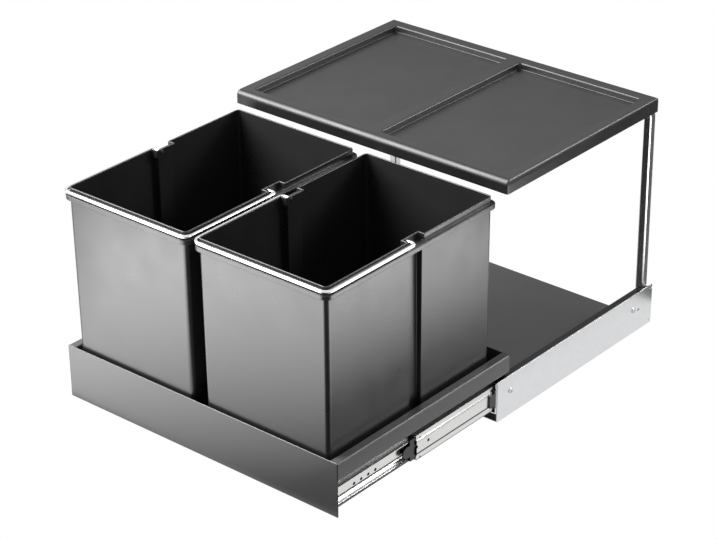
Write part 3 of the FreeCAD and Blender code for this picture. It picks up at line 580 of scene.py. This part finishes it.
# ---------------------------------------------------------------- lid
def lid_profile_rings(lid, low, high):
    """The lid's outer rings from the skirt's foot to the flat rim, with the larger front radius."""
    steps = 2 * QUARTER_TURN_STEPS
    rings = [rounded_ring(low.x, high.x, low.y, high.y, lid.corner, low.z)]
    for step in range(steps + 1):
        angle = math.radians(90.0 * step / steps)
        inset, drop = 1.0 - math.cos(angle), 1.0 - math.sin(angle)
        ring = rounded_ring(low.x + lid.edge * inset, high.x - lid.edge * inset,
                            low.y + lid.front_edge * inset, high.y - lid.edge * inset,
                            lid.corner - lid.edge * inset, 0.0)
        corner_y = low.y + lid.front_edge
        placed = []
        for x, y, _ in ring:
            share = min(1.0, max(0.0, (corner_y + lid.corner - y) / lid.corner))
            radius = lid.edge + (lid.front_edge - lid.edge) * share
            placed.append((x, y, high.z - radius * drop))
        rings.append(placed)
    return rings


SMALLEST_CORNER = 0.5 * MM


def recess_rings(lid, x0, x1, y0, y1, top):
    """Rings of one recess, from the rim's flat down to its floor."""
    edge = lid.edge
    steps = QUARTER_TURN_STEPS
    floor = top - lid.depth

    def ring(inset, z):
        radius = max(lid.recess_corner - inset, SMALLEST_CORNER)
        return rounded_ring(x0 + inset, x1 - inset, y0 + inset, y1 - inset, radius, z)

    rings = []
    for step in range(steps + 1):
        angle = math.radians(90.0 * step / steps)
        rings.append(ring(-edge * (1.0 - math.sin(angle)), top - edge * (1.0 - math.cos(angle))))
    wall_foot = lid.recess_draft
    for step in range(steps + 1):
        angle = math.radians(90.0 * step / steps)
        rings.append(ring(wall_foot + lid.floor_radius * (1.0 - math.cos(angle)),
                          floor + lid.floor_radius * (1.0 - math.sin(angle))))
    return rings


def fill_between(work, loops):
    """Flat faces between an outer loop of vertices and the loops inside it."""
    edges = []
    for loop in loops:
        for here, there in zip(loop, loop[1:] + loop[:1]):
            edge = work.edges.get((here, there))
            edges.append(edge if edge else work.edges.new((here, there)))
    bmesh.ops.triangle_fill(work, edges=edges, use_beauty=True, use_dissolve=False)


def lid_mesh(lid):
    """The shelf lid: rounded rim, two recesses, and the hollow underneath."""
    low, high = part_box("lid")
    work = bmesh.new()
    outer = skin(work, lid_profile_rings(lid, low, high))
    ceiling = high.z - lid.wall
    inset = lid.wall
    hollow = skin(work, [rounded_ring(low.x + inset, high.x - inset, low.y + inset, high.y - inset,
                                      lid.corner - inset, z) for z in (low.z, ceiling)])
    for here in range(len(outer[0])):
        there = (here + 1) % len(outer[0])
        work.faces.new((outer[0][here], outer[0][there], hollow[0][there], hollow[0][here]))
    y0, y1 = low.y + lid.rim_across, high.y - lid.rim_across
    reach = high.x - lid.rim
    tops, tubs = [], []
    for x0, x1 in ((-reach, -lid.rib / 2.0), (lid.rib / 2.0, reach)):
        rings = skin(work, recess_rings(lid, x0, x1, y0, y1, high.z))
        work.faces.new(rings[-1])
        tops.append(rings[0])
        grown = lid.wall - lid.recess_draft
        tub_floor = high.z - lid.depth - lid.wall
        tub = skin(work, [rounded_ring(x0 - grown, x1 + grown, y0 - grown, y1 + grown,
                                       lid.recess_corner + grown, z) for z in (ceiling, tub_floor)])
        work.faces.new(tub[-1])
        tubs.append(tub[0])
    fill_between(work, [outer[-1]] + tops)
    fill_between(work, [hollow[-1]] + tubs)
    return closed_solid(work, "lid")


class WASTEUNIT_OT_lid(bpy.types.Operator):
    """Makes the moulded shelf lid."""
    bl_idname = "waste_unit.lid"
    bl_label = "Lid"

    def execute(self, context):
        lid = context.scene.waste_unit.lid
        finish = moulded_plastic("Black moulded ABS", lid.colour, roughness=0.38, grain=1.0 * MM,
                                 grain_depth=0.008 * MM)
        stand_for("lid", shaded(lid_mesh(lid), MOULDED_SHARP_ANGLE), finish, "moulding")
        return {"FINISHED"}


# ---------------------------------------------------------------- folded sheets
BEND_STEPS = 5                  # faces round a bend
MITRE_LIMIT = 0.5               # least share that a corner's two sides have in common


def filleted(path, radius):
    """A path of straight runs with each corner rounded to a radius."""
    points = [path[0]]
    for before, corner, after in zip(path, path[1:], path[2:]):
        corner = Vector(corner)
        first = (Vector(before) - corner).normalized()
        second = (Vector(after) - corner).normalized()
        half = first.angle(second) / 2.0
        centre = corner + (first + second).normalized() * (radius / math.sin(half))
        start = corner + first * (radius / math.tan(half)) - centre
        end = corner + second * (radius / math.tan(half)) - centre
        turn = start.angle_signed(end)
        for step in range(BEND_STEPS + 1):
            angle = -turn * step / BEND_STEPS
            points.append(tuple(centre + Matrix.Rotation(angle, 2) @ start))
    points.append(path[-1])
    return points


def sheet_outline(path, sheet):
    """The closed outline of a sheet about its middle line."""
    left, right = [], []
    for index, point in enumerate(path):
        ahead = Vector(path[min(index + 1, len(path) - 1)]) - Vector(point)
        behind = Vector(point) - Vector(path[max(index - 1, 0)])
        heading = (ahead.normalized() if ahead.length else Vector((0.0, 0.0)))
        trailing = (behind.normalized() if behind.length else Vector((0.0, 0.0)))
        along = (heading + trailing).normalized()
        normal = Vector((-along.y, along.x))
        if ahead.length and behind.length:
            normal = normal / max(MITRE_LIMIT, normal.dot(Vector((-heading.y, heading.x))))
        left.append(tuple(Vector(point) + normal * sheet / 2.0))
        right.append(tuple(Vector(point) - normal * sheet / 2.0))
    return left, right


def folded_sheet(name, path, sheet, bend, y0, y1, cut_edge):
    """A sheet folded about lines along Y: its middle line in the X-Z plane, drawn from y0 to y1."""
    left, right = sheet_outline(filleted(path, bend + sheet / 2.0), sheet)
    work = bmesh.new()
    rows = [[work.verts.new((x, y, z)) for x, z in outline]
            for outline in (left, right) for y in (y0, y1)]
    pairs = ((rows[0], rows[1]), (rows[2], rows[3]), (rows[0], rows[2]), (rows[1], rows[3]))
    for near, far in pairs:
        for here in range(len(near) - 1):
            work.faces.new((near[here], near[here + 1], far[here + 1], far[here]))
    for end in (0, -1):
        work.faces.new((rows[0][end], rows[1][end], rows[3][end], rows[2][end]))
    mesh = closed_solid(work, name)
    eased = with_modifiers(mesh, [("BEVEL", {"width": cut_edge, "segments": BEVEL_SEGMENTS,
                                             "limit_method": "ANGLE",
                                             "angle_limit": math.radians(FOLDED_SHARP_ANGLE)})])
    return shaded(eased)


class WASTEUNIT_OT_folded(bpy.types.Operator):
    """Makes the tray's pan, the front and rear panels and the base floor."""
    bl_idname = "waste_unit.folded"
    bl_label = "Painted sheets"

    def execute(self, context):
        sheets = context.scene.waste_unit.sheets
        paint = powder_coated_steel("Powder-coated steel", sheets.paint, roughness=0.33)
        panel = powder_coated_steel("Powder-coated panel", sheets.panel_paint, roughness=0.32)
        low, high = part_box("tray_pan")
        sheet = sheets.tray_sheet
        half = sheet / 2.0
        outer = high.x - half
        wall = high.x - sheets.lip + half
        top = high.z - half
        right = [(outer, high.z - sheets.skirt), (outer, top), (wall, top), (wall, low.z + half)]
        path = right + [(-x, z) for x, z in reversed(right)]
        pan = folded_sheet("tray_pan", path, sheet, sheets.bend, low.y, high.y, sheets.cut_edge)
        stand_for("tray_pan", pan, paint, "folded")
        stand_for("tray_front_panel", eased_copy("tray_front_panel", sheets.panel_edge), panel, "eased")
        stand_for("tray_rear_panel", eased_copy("tray_rear_panel", sheets.panel_edge), paint, "eased")
        stand_for("base_floor", eased_copy("base_floor", sheets.cut_edge), paint, "eased")
        return {"FINISHED"}


class WASTEUNIT_OT_plates(bpy.types.Operator):
    """Makes the galvanised side plates."""
    bl_idname = "waste_unit.plates"
    bl_label = "Side plates"

    def execute(self, context):
        sheets = context.scene.waste_unit.sheets
        finish = galvanised_steel("Galvanised steel sheet", sheets.zinc, roughness=0.3)
        for name in SIDES:
            node = "side_plate_" + name
            stand_for(node, eased_copy(node, sheets.slide_edge), finish, "eased")
        return {"FINISHED"}


# ---------------------------------------------------------------- slides
# painted shade darkens the ball tracks, standing in for the shade in the gaps between the members: share of
# the member's height down from its top, half height in millimetres, share of dark
PAINTED_SHADE_LINES = (("slide_outer_", ((0.0, 0.8, 0.93),)),
                ("slide_middle_", ((0.24, 0.7, 0.3), (0.72, 1.1, 0.93), (1.0, 1.2, 0.7))),
                ("slide_inner_", ((0.67, 1.3, 0.93), (0.84, 0.7, 0.75), (1.0, 1.1, 0.93))))


class WASTEUNIT_OT_slides(bpy.types.Operator):
    """Makes the slide members, and finishes their cages and bumpers."""
    bl_idname = "waste_unit.slides"
    bl_label = "Slides"

    def execute(self, context):
        settings = context.scene.waste_unit
        black = moulded_plastic("Black moulded acetal", settings.hardware.black, roughness=0.3,
                                grain=0.8 * MM, grain_depth=0.004 * MM)
        for member, lines in PAINTED_SHADE_LINES:
            low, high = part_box(member + "right")
            # painted shade: each band darkens a level of the member where the gaps between members lie in
            # shade
            shade_bands = [(high.z - (high.z - low.z) * down, reach * MM, dark) for down, reach, dark in lines]
            zinc = drawn_metal("Zinc-plated rolled steel, " + member.replace("_", " ").strip(),
                               settings.sheets.bright_zinc, roughness=0.26, stretch=(1.0, 50.0, 1.0),
                               line=0.7 * MM, line_depth=0.002 * MM, shade_bands=shade_bands)
            for name in SIDES:
                node = member + name
                stand_for(node, eased_copy(node, settings.sheets.slide_edge), zinc, "eased")
        for name in SIDES:
            dress("outer_cage_" + name, zinc)
            dress("inner_cage_" + name, black)
            dress("slide_bumper_" + name, black)
        return {"FINISHED"}


# ---------------------------------------------------------------- geometry node trees
def new_tree(name, sockets):
    """A geometry node tree with a Geometry input and output and named inputs of given types."""
    tree = bpy.data.node_groups.new(name, "GeometryNodeTree")
    tree.interface.new_socket("Geometry", in_out="INPUT", socket_type="NodeSocketGeometry")
    for label, kind in sockets:
        tree.interface.new_socket(label, in_out="INPUT", socket_type=kind)
    tree.interface.new_socket("Geometry", in_out="OUTPUT", socket_type="NodeSocketGeometry")
    return tree, add_node(tree, "NodeGroupInput").outputs


def end_tree(tree, geometry, finish):
    """Ends a tree: instances made real, shaded smooth, and given their material."""
    real = add_node(tree, "GeometryNodeRealizeInstances", feeds={"Geometry": geometry})
    smooth = add_node(tree, "GeometryNodeSetShadeSmooth", feeds={"Geometry": real.outputs[0]})
    filled = add_node(tree, "GeometryNodeSetMaterial", feeds={"Geometry": smooth.outputs[0],
                                                              "Material": finish})
    add_node(tree, "NodeGroupOutput", feeds={"Geometry": filled.outputs[0]})


def run_tree(mesh, tree, values):
    """The plain mesh that a tree makes of a mesh, with its inputs set by name."""
    carrier = carrier_of(mesh)
    modifier = carrier.modifiers.new("Nodes", "NODES")
    modifier.node_group = tree
    for item in tree.interface.items_tree:
        if item.in_out == "INPUT" and item.name in values:
            modifier[item.identifier] = values[item.name]
    return evaluated_mesh(carrier)


def points_mesh(name, points):
    """A mesh of loose vertices."""
    mesh = bpy.data.meshes.new(name)
    mesh.from_pydata(points, [], [])
    return mesh


BALL_SUBDIVISIONS = 4
BEND_POINTS = 10
WIRE_SIDES = 20


def ball_tree():
    """Puts a ball on each point."""
    tree, given = new_tree("Ball Rows", (("Radius", "NodeSocketFloat"), ("Finish", "NodeSocketMaterial")))
    ball = add_node(tree, "GeometryNodeMeshIcoSphere",
                    feeds={"Radius": given["Radius"], "Subdivisions": BALL_SUBDIVISIONS})
    rows = add_node(tree, "GeometryNodeInstanceOnPoints", feeds={"Points": given["Geometry"],
                                                                 "Instance": ball.outputs["Mesh"]})
    end_tree(tree, rows.outputs["Instances"], given["Finish"])
    return tree


class WASTEUNIT_OT_balls(bpy.types.Operator):
    """Makes the rows of balls in their cages."""
    bl_idname = "waste_unit.balls"
    bl_label = "Balls"

    def execute(self, context):
        hardware = context.scene.waste_unit.hardware
        finish = drawn_metal("Ground bearing steel", hardware.ball, roughness=0.1, stretch=EVEN,
                             line=0.5 * MM, line_depth=0.0005 * MM)
        tree = ball_tree()
        for name in SIDES:
            for row in ("outer_balls_", "inner_balls_"):
                boxes = solids(row + name)
                radius = (boxes[0][1].z - boxes[0][0].z) / 2.0
                centres = points_mesh(row + name, [(low + high) / 2.0 for low, high in boxes])
                mesh = run_tree(centres, tree, {"Radius": radius, "Finish": finish})
                stand_for(row + name, mesh, finish, "row")
        return {"FINISHED"}


def wire_tree():
    """Bends a wire along a path of straight runs, each corner to its own radius."""
    tree, given = new_tree("Bent Wire", (("Wire Radius", "NodeSocketFloat"),
                                         ("Finish", "NodeSocketMaterial")))
    path = add_node(tree, "GeometryNodeMeshToCurve", feeds={"Mesh": given["Geometry"]})
    bend = add_node(tree, "GeometryNodeInputNamedAttribute", {"data_type": "FLOAT"}, {"Name": "bend"})
    bent = add_node(tree, "GeometryNodeFilletCurve", {"mode": "POLY"},
                    {"Curve": path.outputs["Curve"], "Count": BEND_POINTS,
                     "Radius": bend.outputs["Attribute"]})
    section = add_node(tree, "GeometryNodeCurvePrimitiveCircle",
                       feeds={"Radius": given["Wire Radius"], "Resolution": WIRE_SIDES})
    wire = add_node(tree, "GeometryNodeCurveToMesh", feeds={"Curve": bent.outputs["Curve"],
                                                            "Profile Curve": section.outputs["Curve"],
                                                            "Fill Caps": True})
    end_tree(tree, wire.outputs["Mesh"], given["Finish"])
    return tree


def bail_path(hardware, bins, node, bin_node):
    """The bail's corners with their bends: in at one pivot, round the front, out at the other."""
    low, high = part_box(node)
    radius = hardware.wire / 2.0
    centre = (low.x + high.x) / 2.0
    reach = (high.x - low.x) / 2.0 - radius
    tip = (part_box(bin_node)[1].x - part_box(bin_node)[0].x) / 2.0 - bins.overhang - hardware.pin
    z = (low.z + high.z) / 2.0
    rear, front = high.y - radius, low.y + radius
    corner = bins.corner + hardware.bail_gap + radius
    half = [(tip, rear, 0.0), (reach, rear, hardware.eye_bend), (reach, front, corner)]
    path = half + [(-x, y, bend) for x, y, bend in reversed(half)]
    mesh = bpy.data.meshes.new(node)
    runs = [(i, i + 1) for i in range(len(path) - 1)]
    mesh.from_pydata([(centre + x, y, z) for x, y, _ in path], runs, [])
    bends = mesh.attributes.new("bend", "FLOAT", "POINT")
    bends.data.foreach_set("value", [bend for _, _, bend in path])
    return mesh


class WASTEUNIT_OT_bails(bpy.types.Operator):
    """Bends the two wire bails."""
    bl_idname = "waste_unit.bails"
    bl_label = "Bails"

    def execute(self, context):
        settings = context.scene.waste_unit
        hardware = settings.hardware
        finish = drawn_metal("Bright nickel-plated wire", hardware.nickel, roughness=0.14, stretch=EVEN,
                             line=1.5 * MM, line_depth=0.001 * MM)
        tree = wire_tree()
        for name in SIDES:
            path = bail_path(hardware, settings.bins, "bail_" + name, "bin_" + name)
            mesh = run_tree(path, tree, {"Wire Radius": hardware.wire / 2.0, "Finish": finish})
            stand_for("bail_" + name, mesh, finish, "wire")
        return {"FINISHED"}


# ---------------------------------------------------------------- screws
SCREW_SIDES = 28
CROWN_SHARE = 0.6               # of the head's height
RECESS_REACH = 0.62             # of the head's radius, at the recess's mouth
RECESS_TAPER = 0.45             # of that reach, at its foot
RECESS_DEPTH = 0.55             # of the head's height
SLOT_TAPER = 0.5                # the recess's width at its foot, of that at its mouth
CUT_PAST = 0.1 * MM             # the recess's cutter above the head


def screw_mesh(head_radius, head_height, shank_radius, shank_length, slot):
    """A pan-head screw along Z, its seat at the origin, with a tapered cross recess."""
    crown = CROWN_SHARE * head_height
    profile = [(shank_radius, -shank_length), (shank_radius, 0.0), (head_radius, 0.0),
               (head_radius, head_height - crown)]
    for step in range(1, QUARTER_TURN_STEPS + 1):
        angle = math.radians(90.0 * step / QUARTER_TURN_STEPS)
        profile.append((head_radius - crown * (1.0 - math.cos(angle)),
                        head_height - crown * (1.0 - math.sin(angle))))
    work = bmesh.new()
    turns = [2.0 * math.pi * index / SCREW_SIDES for index in range(SCREW_SIDES)]
    rings = skin(work, [[(r * math.cos(a), r * math.sin(a), z) for a in turns] for r, z in profile])
    work.faces.new(rings[0])
    work.faces.new(rings[-1])
    body = closed_solid(work, "screw")
    arm, depth = head_radius * RECESS_REACH, head_height * RECESS_DEPTH
    cutter = bmesh.new()
    wide = slot / 2.0
    narrow = wide * SLOT_TAPER
    for turned in (False, True):
        rings = []
        for z, reach, half in ((head_height - depth, arm * RECESS_TAPER, narrow),
                               (head_height + CUT_PAST, arm, wide)):
            ring = [(reach, half, z), (-reach, half, z), (-reach, -half, z), (reach, -half, z)]
            rings.append([(-y, x, level) for x, y, level in ring] if turned else ring)
        made = skin(cutter, rings)
        cutter.faces.new(made[0])
        cutter.faces.new(made[-1])
    bmesh.ops.recalc_face_normals(cutter, faces=cutter.faces)
    cross = carrier_of(mesh_from(cutter, "cross"))
    body = with_modifiers(body, [("BOOLEAN", {"operation": "DIFFERENCE", "object": cross,
                                              "solver": "EXACT", "use_self": True})])
    bpy.data.objects.remove(cross)
    return body


def screw_tree():
    """Puts a screw on each point, turned to its aim and rolled at random about it."""
    tree, given = new_tree("Screws", (("Screw", "NodeSocketObject"), ("Seed", "NodeSocketInt"),
                                      ("Finish", "NodeSocketMaterial")))
    screw = add_node(tree, "GeometryNodeObjectInfo", feeds={"Object": given["Screw"]})
    aim = add_node(tree, "GeometryNodeInputNamedAttribute", {"data_type": "FLOAT_VECTOR"}, {"Name": "aim"})
    turned = add_node(tree, "FunctionNodeAlignRotationToVector", {"axis": "Z"},
                      {"Vector": aim.outputs["Attribute"]})
    roll = add_node(tree, "FunctionNodeRandomValue", {"data_type": "FLOAT"},
                    {2: 0.0, 3: math.pi / 2.0, "Seed": given["Seed"]})
    about = add_node(tree, "FunctionNodeAxisAngleToRotation", feeds={"Axis": (0.0, 0.0, 1.0),
                                                                     "Angle": roll.outputs[1]})
    rolled = add_node(tree, "FunctionNodeRotateRotation", {"rotation_space": "LOCAL"},
                      {"Rotation": turned.outputs["Rotation"], "Rotate By": about.outputs["Rotation"]})
    placed = add_node(tree, "GeometryNodeInstanceOnPoints",
                      feeds={"Points": given["Geometry"], "Instance": screw.outputs["Geometry"],
                             "Rotation": rolled.outputs["Rotation"]})
    real = add_node(tree, "GeometryNodeRealizeInstances", feeds={"Geometry": placed.outputs["Instances"]})
    filled = add_node(tree, "GeometryNodeSetMaterial", feeds={"Geometry": real.outputs[0],
                                                              "Material": given["Finish"]})
    add_node(tree, "NodeGroupOutput", feeds={"Geometry": filled.outputs[0]})
    return tree


# node, axis, then head radius, head height and shank radius in millimetres
SCREWS = (("slide_screws", 0, 3.5, 1.9, 2.0), ("tray_slide_screws", 0, 3.2, 1.5, 1.75),
          ("post_screws", 1, 3.8, 1.9, 2.0), ("lid_screws", 2, 3.6, 2.0, 1.75))


class WASTEUNIT_OT_screws(bpy.types.Operator):
    """Makes the pan-head screws where the frame has them."""
    bl_idname = "waste_unit.screws"
    bl_label = "Screws"

    def execute(self, context):
        hardware = context.scene.waste_unit.hardware
        finish = drawn_metal("Zinc-plated screw steel", hardware.screw, roughness=0.28, stretch=EVEN,
                             line=0.4 * MM, line_depth=0.001 * MM)
        tree = screw_tree()
        for node, axis, head_radius, head_height, shank_radius in SCREWS:
            seats, aims = [], []
            for low, high in solids(node):
                centre = (low + high) / 2.0
                outward = -1.0 if axis == 2 or (axis == 0 and centre.x < 0.0) else 1.0
                aim = Vector((0.0, 0.0, 0.0))
                aim[axis] = outward
                seat = centre.copy()
                seat[axis] = (high if outward > 0 else low)[axis] - outward * head_height * MM
                seats.append(seat)
                aims.append(aim)
            long = (high - low)[axis] - head_height * MM
            screw = carrier_of(screw_mesh(head_radius * MM, head_height * MM, shank_radius * MM, long,
                                          hardware.slot))
            points = points_mesh(node, seats)
            attribute = points.attributes.new("aim", "FLOAT_VECTOR", "POINT")
            attribute.data.foreach_set("vector", [c for aim in aims for c in aim])
            mesh = run_tree(points, tree, {"Screw": screw, "Seed": len(node), "Finish": finish})
            bpy.data.objects.remove(screw)
            stand_for(node, shaded(mesh, SCREW_SHARP_ANGLE), finish, "pan_head")
        return {"FINISHED"}


# ---------------------------------------------------------------- posts
class WASTEUNIT_OT_posts(bpy.types.Operator):
    """Finishes the bent posts and the plugs in their arms."""
    bl_idname = "waste_unit.posts"
    bl_label = "Posts"

    def execute(self, context):
        hardware = context.scene.waste_unit.hardware
        tube = drawn_metal("Satin nickel-plated tube", hardware.tube, roughness=0.27,
                           stretch=(1.0, 1.0, 40.0), line=0.6 * MM, line_depth=0.001 * MM)
        black = moulded_plastic("Black moulded plug", hardware.black, roughness=0.45, grain=0.8 * MM,
                                grain_depth=0.004 * MM)
        for name in SIDES:
            dress("post_" + name, tube)
        dress("arm_plugs", black)
        return {"FINISHED"}


# ---------------------------------------------------------------- stage
WHITE = (1.0, 1.0, 1.0, 1.0)
FLOOR_ALBEDO = 0.8
# softboxes, in metres: place, target, then width and height
HIGH_SOFTBOX = ((-0.98, -0.89, 1.39), (0.0, 0.0, 0.33), (1.0, 1.5))
REAR_SOFTBOX = ((0.95, 1.0, 0.95), (0.2, 0.0, 0.1), (0.9, 0.3))
# cards, in metres: a span is x0, x1, y0, y1; a fade is the value of x + lean * y with the full glow,
# the value with none, and the lean
UPPER_CARD = 0.004              # above the floor
LOWER_CARD = 0.003
PANEL_FOOT = -0.335             # just ahead of the drawn tray
FRONT_CORNERS = ((-0.3, PANEL_FOOT, UPPER_CARD), (-0.96, -1.1, UPPER_CARD),
                 (0.13, -1.1, UPPER_CARD), (0.13, PANEL_FOOT, UPPER_CARD))
FRONT_FADE = (-1.35, -0.35, 1.4)
SIDE_SPAN = (0.31, 0.9, -0.25, 0.45)
SIDE_GLOW = 7.4
SIDE_FADE = (0.64, 0.36, 0.1)
DARK_SPAN = (0.1, 0.95, -1.1, PANEL_FOOT)
DARK_GLOW = 0.02
GREY_SPAN = (0.24, 2.6, 0.38, 3.0)
GREY_GLOW = 0.12
FLAG_CORNERS = ((-1.0, 0.8, 0.0), (0.4, 0.8, 0.0), (0.4, 0.8, 0.6), (-1.0, 0.8, 0.6))
FLAG_GLOW = 0.4
SENSOR_WIDTH = 36.0
CLIP_START, CLIP_END = 0.1, 100.0


def pale_floor(name, albedo):
    """Matt studio paper: pale where light falls on it, and plain white to camera and reflections."""
    finish = bpy.data.materials.new(name)
    finish.use_nodes = True
    tree = finish.node_tree
    tree.nodes.clear()
    seen = seen_directly(tree)
    matt = add_node(tree, "ShaderNodeBsdfDiffuse", feeds={"Color": (albedo, albedo, albedo, 1.0)})
    white = add_node(tree, "ShaderNodeEmission", feeds={"Color": WHITE, "Strength": 1.0})
    picked = add_node(tree, "ShaderNodeMixShader", feeds={0: seen, 1: matt.outputs[0], 2: white.outputs[0]})
    add_node(tree, "ShaderNodeOutputMaterial", feeds={"Surface": picked.outputs[0]})
    return finish


def seen_directly(tree):
    """1 for camera, glossy and transmission rays, else 0."""
    path = add_node(tree, "ShaderNodeLightPath")
    pair = add_node(tree, "ShaderNodeMath", {"operation": "MAXIMUM"},
                    {0: path.outputs["Is Camera Ray"], 1: path.outputs["Is Glossy Ray"]})
    return add_node(tree, "ShaderNodeMath", {"operation": "MAXIMUM"},
                    {0: pair.outputs[0], 1: path.outputs["Is Transmission Ray"]}).outputs[0]


def card(name, corners, glow, fade=None):
    """A flat glowing card that the camera doesn't see; a fade takes its glow down across it."""
    finish = bpy.data.materials.new(name)
    finish.use_nodes = True
    tree = finish.node_tree
    tree.nodes.clear()
    light = add_node(tree, "ShaderNodeEmission", feeds={"Color": WHITE, "Strength": glow})
    if fade:
        full, none, lean = fade
        place = add_node(tree, "ShaderNodeSeparateXYZ",
                         feeds={"Vector": add_node(tree, "ShaderNodeTexCoord").outputs["Object"]})
        across = add_node(tree, "ShaderNodeMath", {"operation": "MULTIPLY_ADD"},
                          {0: place.outputs["Y"], 1: lean, 2: place.outputs["X"]})
        ramp = add_node(tree, "ShaderNodeMapRange", {"interpolation_type": "LINEAR"},
                        {"Value": across.outputs[0], "From Min": full, "From Max": none,
                         "To Min": glow, "To Max": 0.0})
        tree.links.new(ramp.outputs["Result"], light.inputs["Strength"])
    add_node(tree, "ShaderNodeOutputMaterial", feeds={"Surface": light.outputs[0]})
    mesh = bpy.data.meshes.new(name)
    mesh.from_pydata(corners, [], [(0, 1, 2, 3)])
    mesh.materials.append(finish)
    holder = bpy.data.objects.new(name, mesh)
    bpy.context.scene.collection.objects.link(holder)
    holder.visible_camera = False


def flat_corners(x0, x1, y0, y1, z):
    """The corners of a level card."""
    return [(x0, y0, z), (x1, y0, z), (x1, y1, z), (x0, y1, z)]


def softbox(name, place, target, size, power):
    """A rectangular softbox that faces a target; the camera doesn't see it."""
    lamp = bpy.data.lights.new(name, "AREA")
    lamp.shape = "RECTANGLE"
    lamp.size, lamp.size_y = size
    lamp.energy = power
    holder = bpy.data.objects.new(name, lamp)
    holder.location = place
    holder.rotation_mode = "QUATERNION"
    holder.rotation_quaternion = (Vector(target) - Vector(place)).to_track_quat("-Z", "Y")
    holder.visible_camera = False
    bpy.context.scene.collection.objects.link(holder)


class WASTEUNIT_OT_stage(bpy.types.Operator):
    """Makes the pale floor, the soft light and the camera."""
    bl_idname = "waste_unit.stage"
    bl_label = "Stage"

    def execute(self, context):
        stage = context.scene.waste_unit.stage
        half = stage.floor_size / 2.0
        mesh = bpy.data.meshes.new("floor")
        mesh.from_pydata(flat_corners(-half, half, -half, half, 0.0), [], [(0, 1, 2, 3)])
        mesh.materials.append(pale_floor("Pale studio floor", FLOOR_ALBEDO))
        floor = bpy.data.objects.new("floor", mesh)
        context.scene.collection.objects.link(floor)
        world = bpy.data.worlds.new("Studio")
        context.scene.world = world
        world.use_nodes = True
        tree = world.node_tree
        tree.nodes.clear()
        seen = seen_directly(tree)
        room = add_node(tree, "ShaderNodeBackground", feeds={"Strength": stage.ambient})
        white = add_node(tree, "ShaderNodeBackground", feeds={"Strength": 1.0})
        for node in (room, white):
            node.inputs["Color"].default_value = WHITE
        picked = add_node(tree, "ShaderNodeMixShader",
                          feeds={0: seen, 1: room.outputs[0], 2: white.outputs[0]})
        add_node(tree, "ShaderNodeOutputWorld", feeds={"Surface": picked.outputs[0]})
        softbox("high softbox", *HIGH_SOFTBOX, stage.key_power)
        softbox("rear softbox", *REAR_SOFTBOX, stage.rim_power)
        card("glow card", FRONT_CORNERS, stage.glow, FRONT_FADE)
        card("side card", flat_corners(*SIDE_SPAN, UPPER_CARD), SIDE_GLOW, SIDE_FADE)
        card("dark card", flat_corners(*DARK_SPAN, LOWER_CARD), DARK_GLOW)
        card("grey card", flat_corners(*GREY_SPAN, LOWER_CARD), GREY_GLOW)
        card("rear flag", FLAG_CORNERS, FLAG_GLOW)
        camera = bpy.data.cameras.new("camera")
        camera.lens = stage.lens
        camera.sensor_width = SENSOR_WIDTH
        camera.sensor_fit = "HORIZONTAL"
        camera.clip_start, camera.clip_end = CLIP_START, CLIP_END
        holder = bpy.data.objects.new("camera", camera)
        azimuth, elevation, roll = stage.azimuth, stage.elevation, stage.roll
        level = math.cos(elevation)
        back = Vector((math.sin(azimuth) * level, -math.cos(azimuth) * level, math.sin(elevation)))
        right = (-back).cross(Vector((0.0, 0.0, 1.0))).normalized()
        up = back.cross(right)
        across = math.cos(roll) * right + math.sin(roll) * up
        upright = -math.sin(roll) * right + math.cos(roll) * up
        turn = Matrix((across, upright, back)).transposed()
        holder.matrix_world = Matrix.LocRotScale(stage.place, turn, None)
        context.scene.collection.objects.link(holder)
        context.scene.camera = holder
        context.scene.view_settings.view_transform = "Standard"
        return {"FINISHED"}


# ---------------------------------------------------------------- panel and registration
OPERATORS = (WASTEUNIT_OT_stage, WASTEUNIT_OT_bins, WASTEUNIT_OT_bails, WASTEUNIT_OT_lid,
             WASTEUNIT_OT_folded, WASTEUNIT_OT_plates, WASTEUNIT_OT_slides, WASTEUNIT_OT_balls,
             WASTEUNIT_OT_screws, WASTEUNIT_OT_posts)


class WASTEUNIT_PT_panel(bpy.types.Panel):
    """Lists the pieces of the waste unit."""
    bl_idname = "WASTEUNIT_PT_panel"
    bl_label = "Waste Unit"
    bl_space_type = "VIEW_3D"
    bl_region_type = "UI"
    bl_category = "Waste Unit"

    def draw(self, context):
        settings = context.scene.waste_unit
        for operator in OPERATORS:
            self.layout.operator(operator.bl_idname)
        for label in ("bins", "lid", "sheets", "hardware", "stage"):
            group = getattr(settings, label)
            box = self.layout.box()
            box.label(text=label.capitalize())
            for name in group.bl_rna.properties.keys():
                if name not in ("rna_type", "name"):
                    box.prop(group, name)


CLASSES = (WASTEUNIT_PG_bins, WASTEUNIT_PG_lid, WASTEUNIT_PG_sheets, WASTEUNIT_PG_hardware,
           WASTEUNIT_PG_stage, WASTEUNIT_PG_settings) + OPERATORS + (WASTEUNIT_PT_panel,)


def register():
    for cls in CLASSES:
        bpy.utils.register_class(cls)
    bpy.types.Scene.waste_unit = bpy.props.PointerProperty(type=WASTEUNIT_PG_settings)


def unregister():
    del bpy.types.Scene.waste_unit
    for cls in reversed(CLASSES):
        bpy.utils.unregister_class(cls)


def main():
    register()
    bpy.ops.waste_unit.stage()
    bpy.ops.waste_unit.bins()
    bpy.ops.waste_unit.bails()
    bpy.ops.waste_unit.lid()
    bpy.ops.waste_unit.folded()
    bpy.ops.waste_unit.plates()
    bpy.ops.waste_unit.slides()
    bpy.ops.waste_unit.balls()
    bpy.ops.waste_unit.screws()
    bpy.ops.waste_unit.posts()


if __name__ == "__main__":
    main()
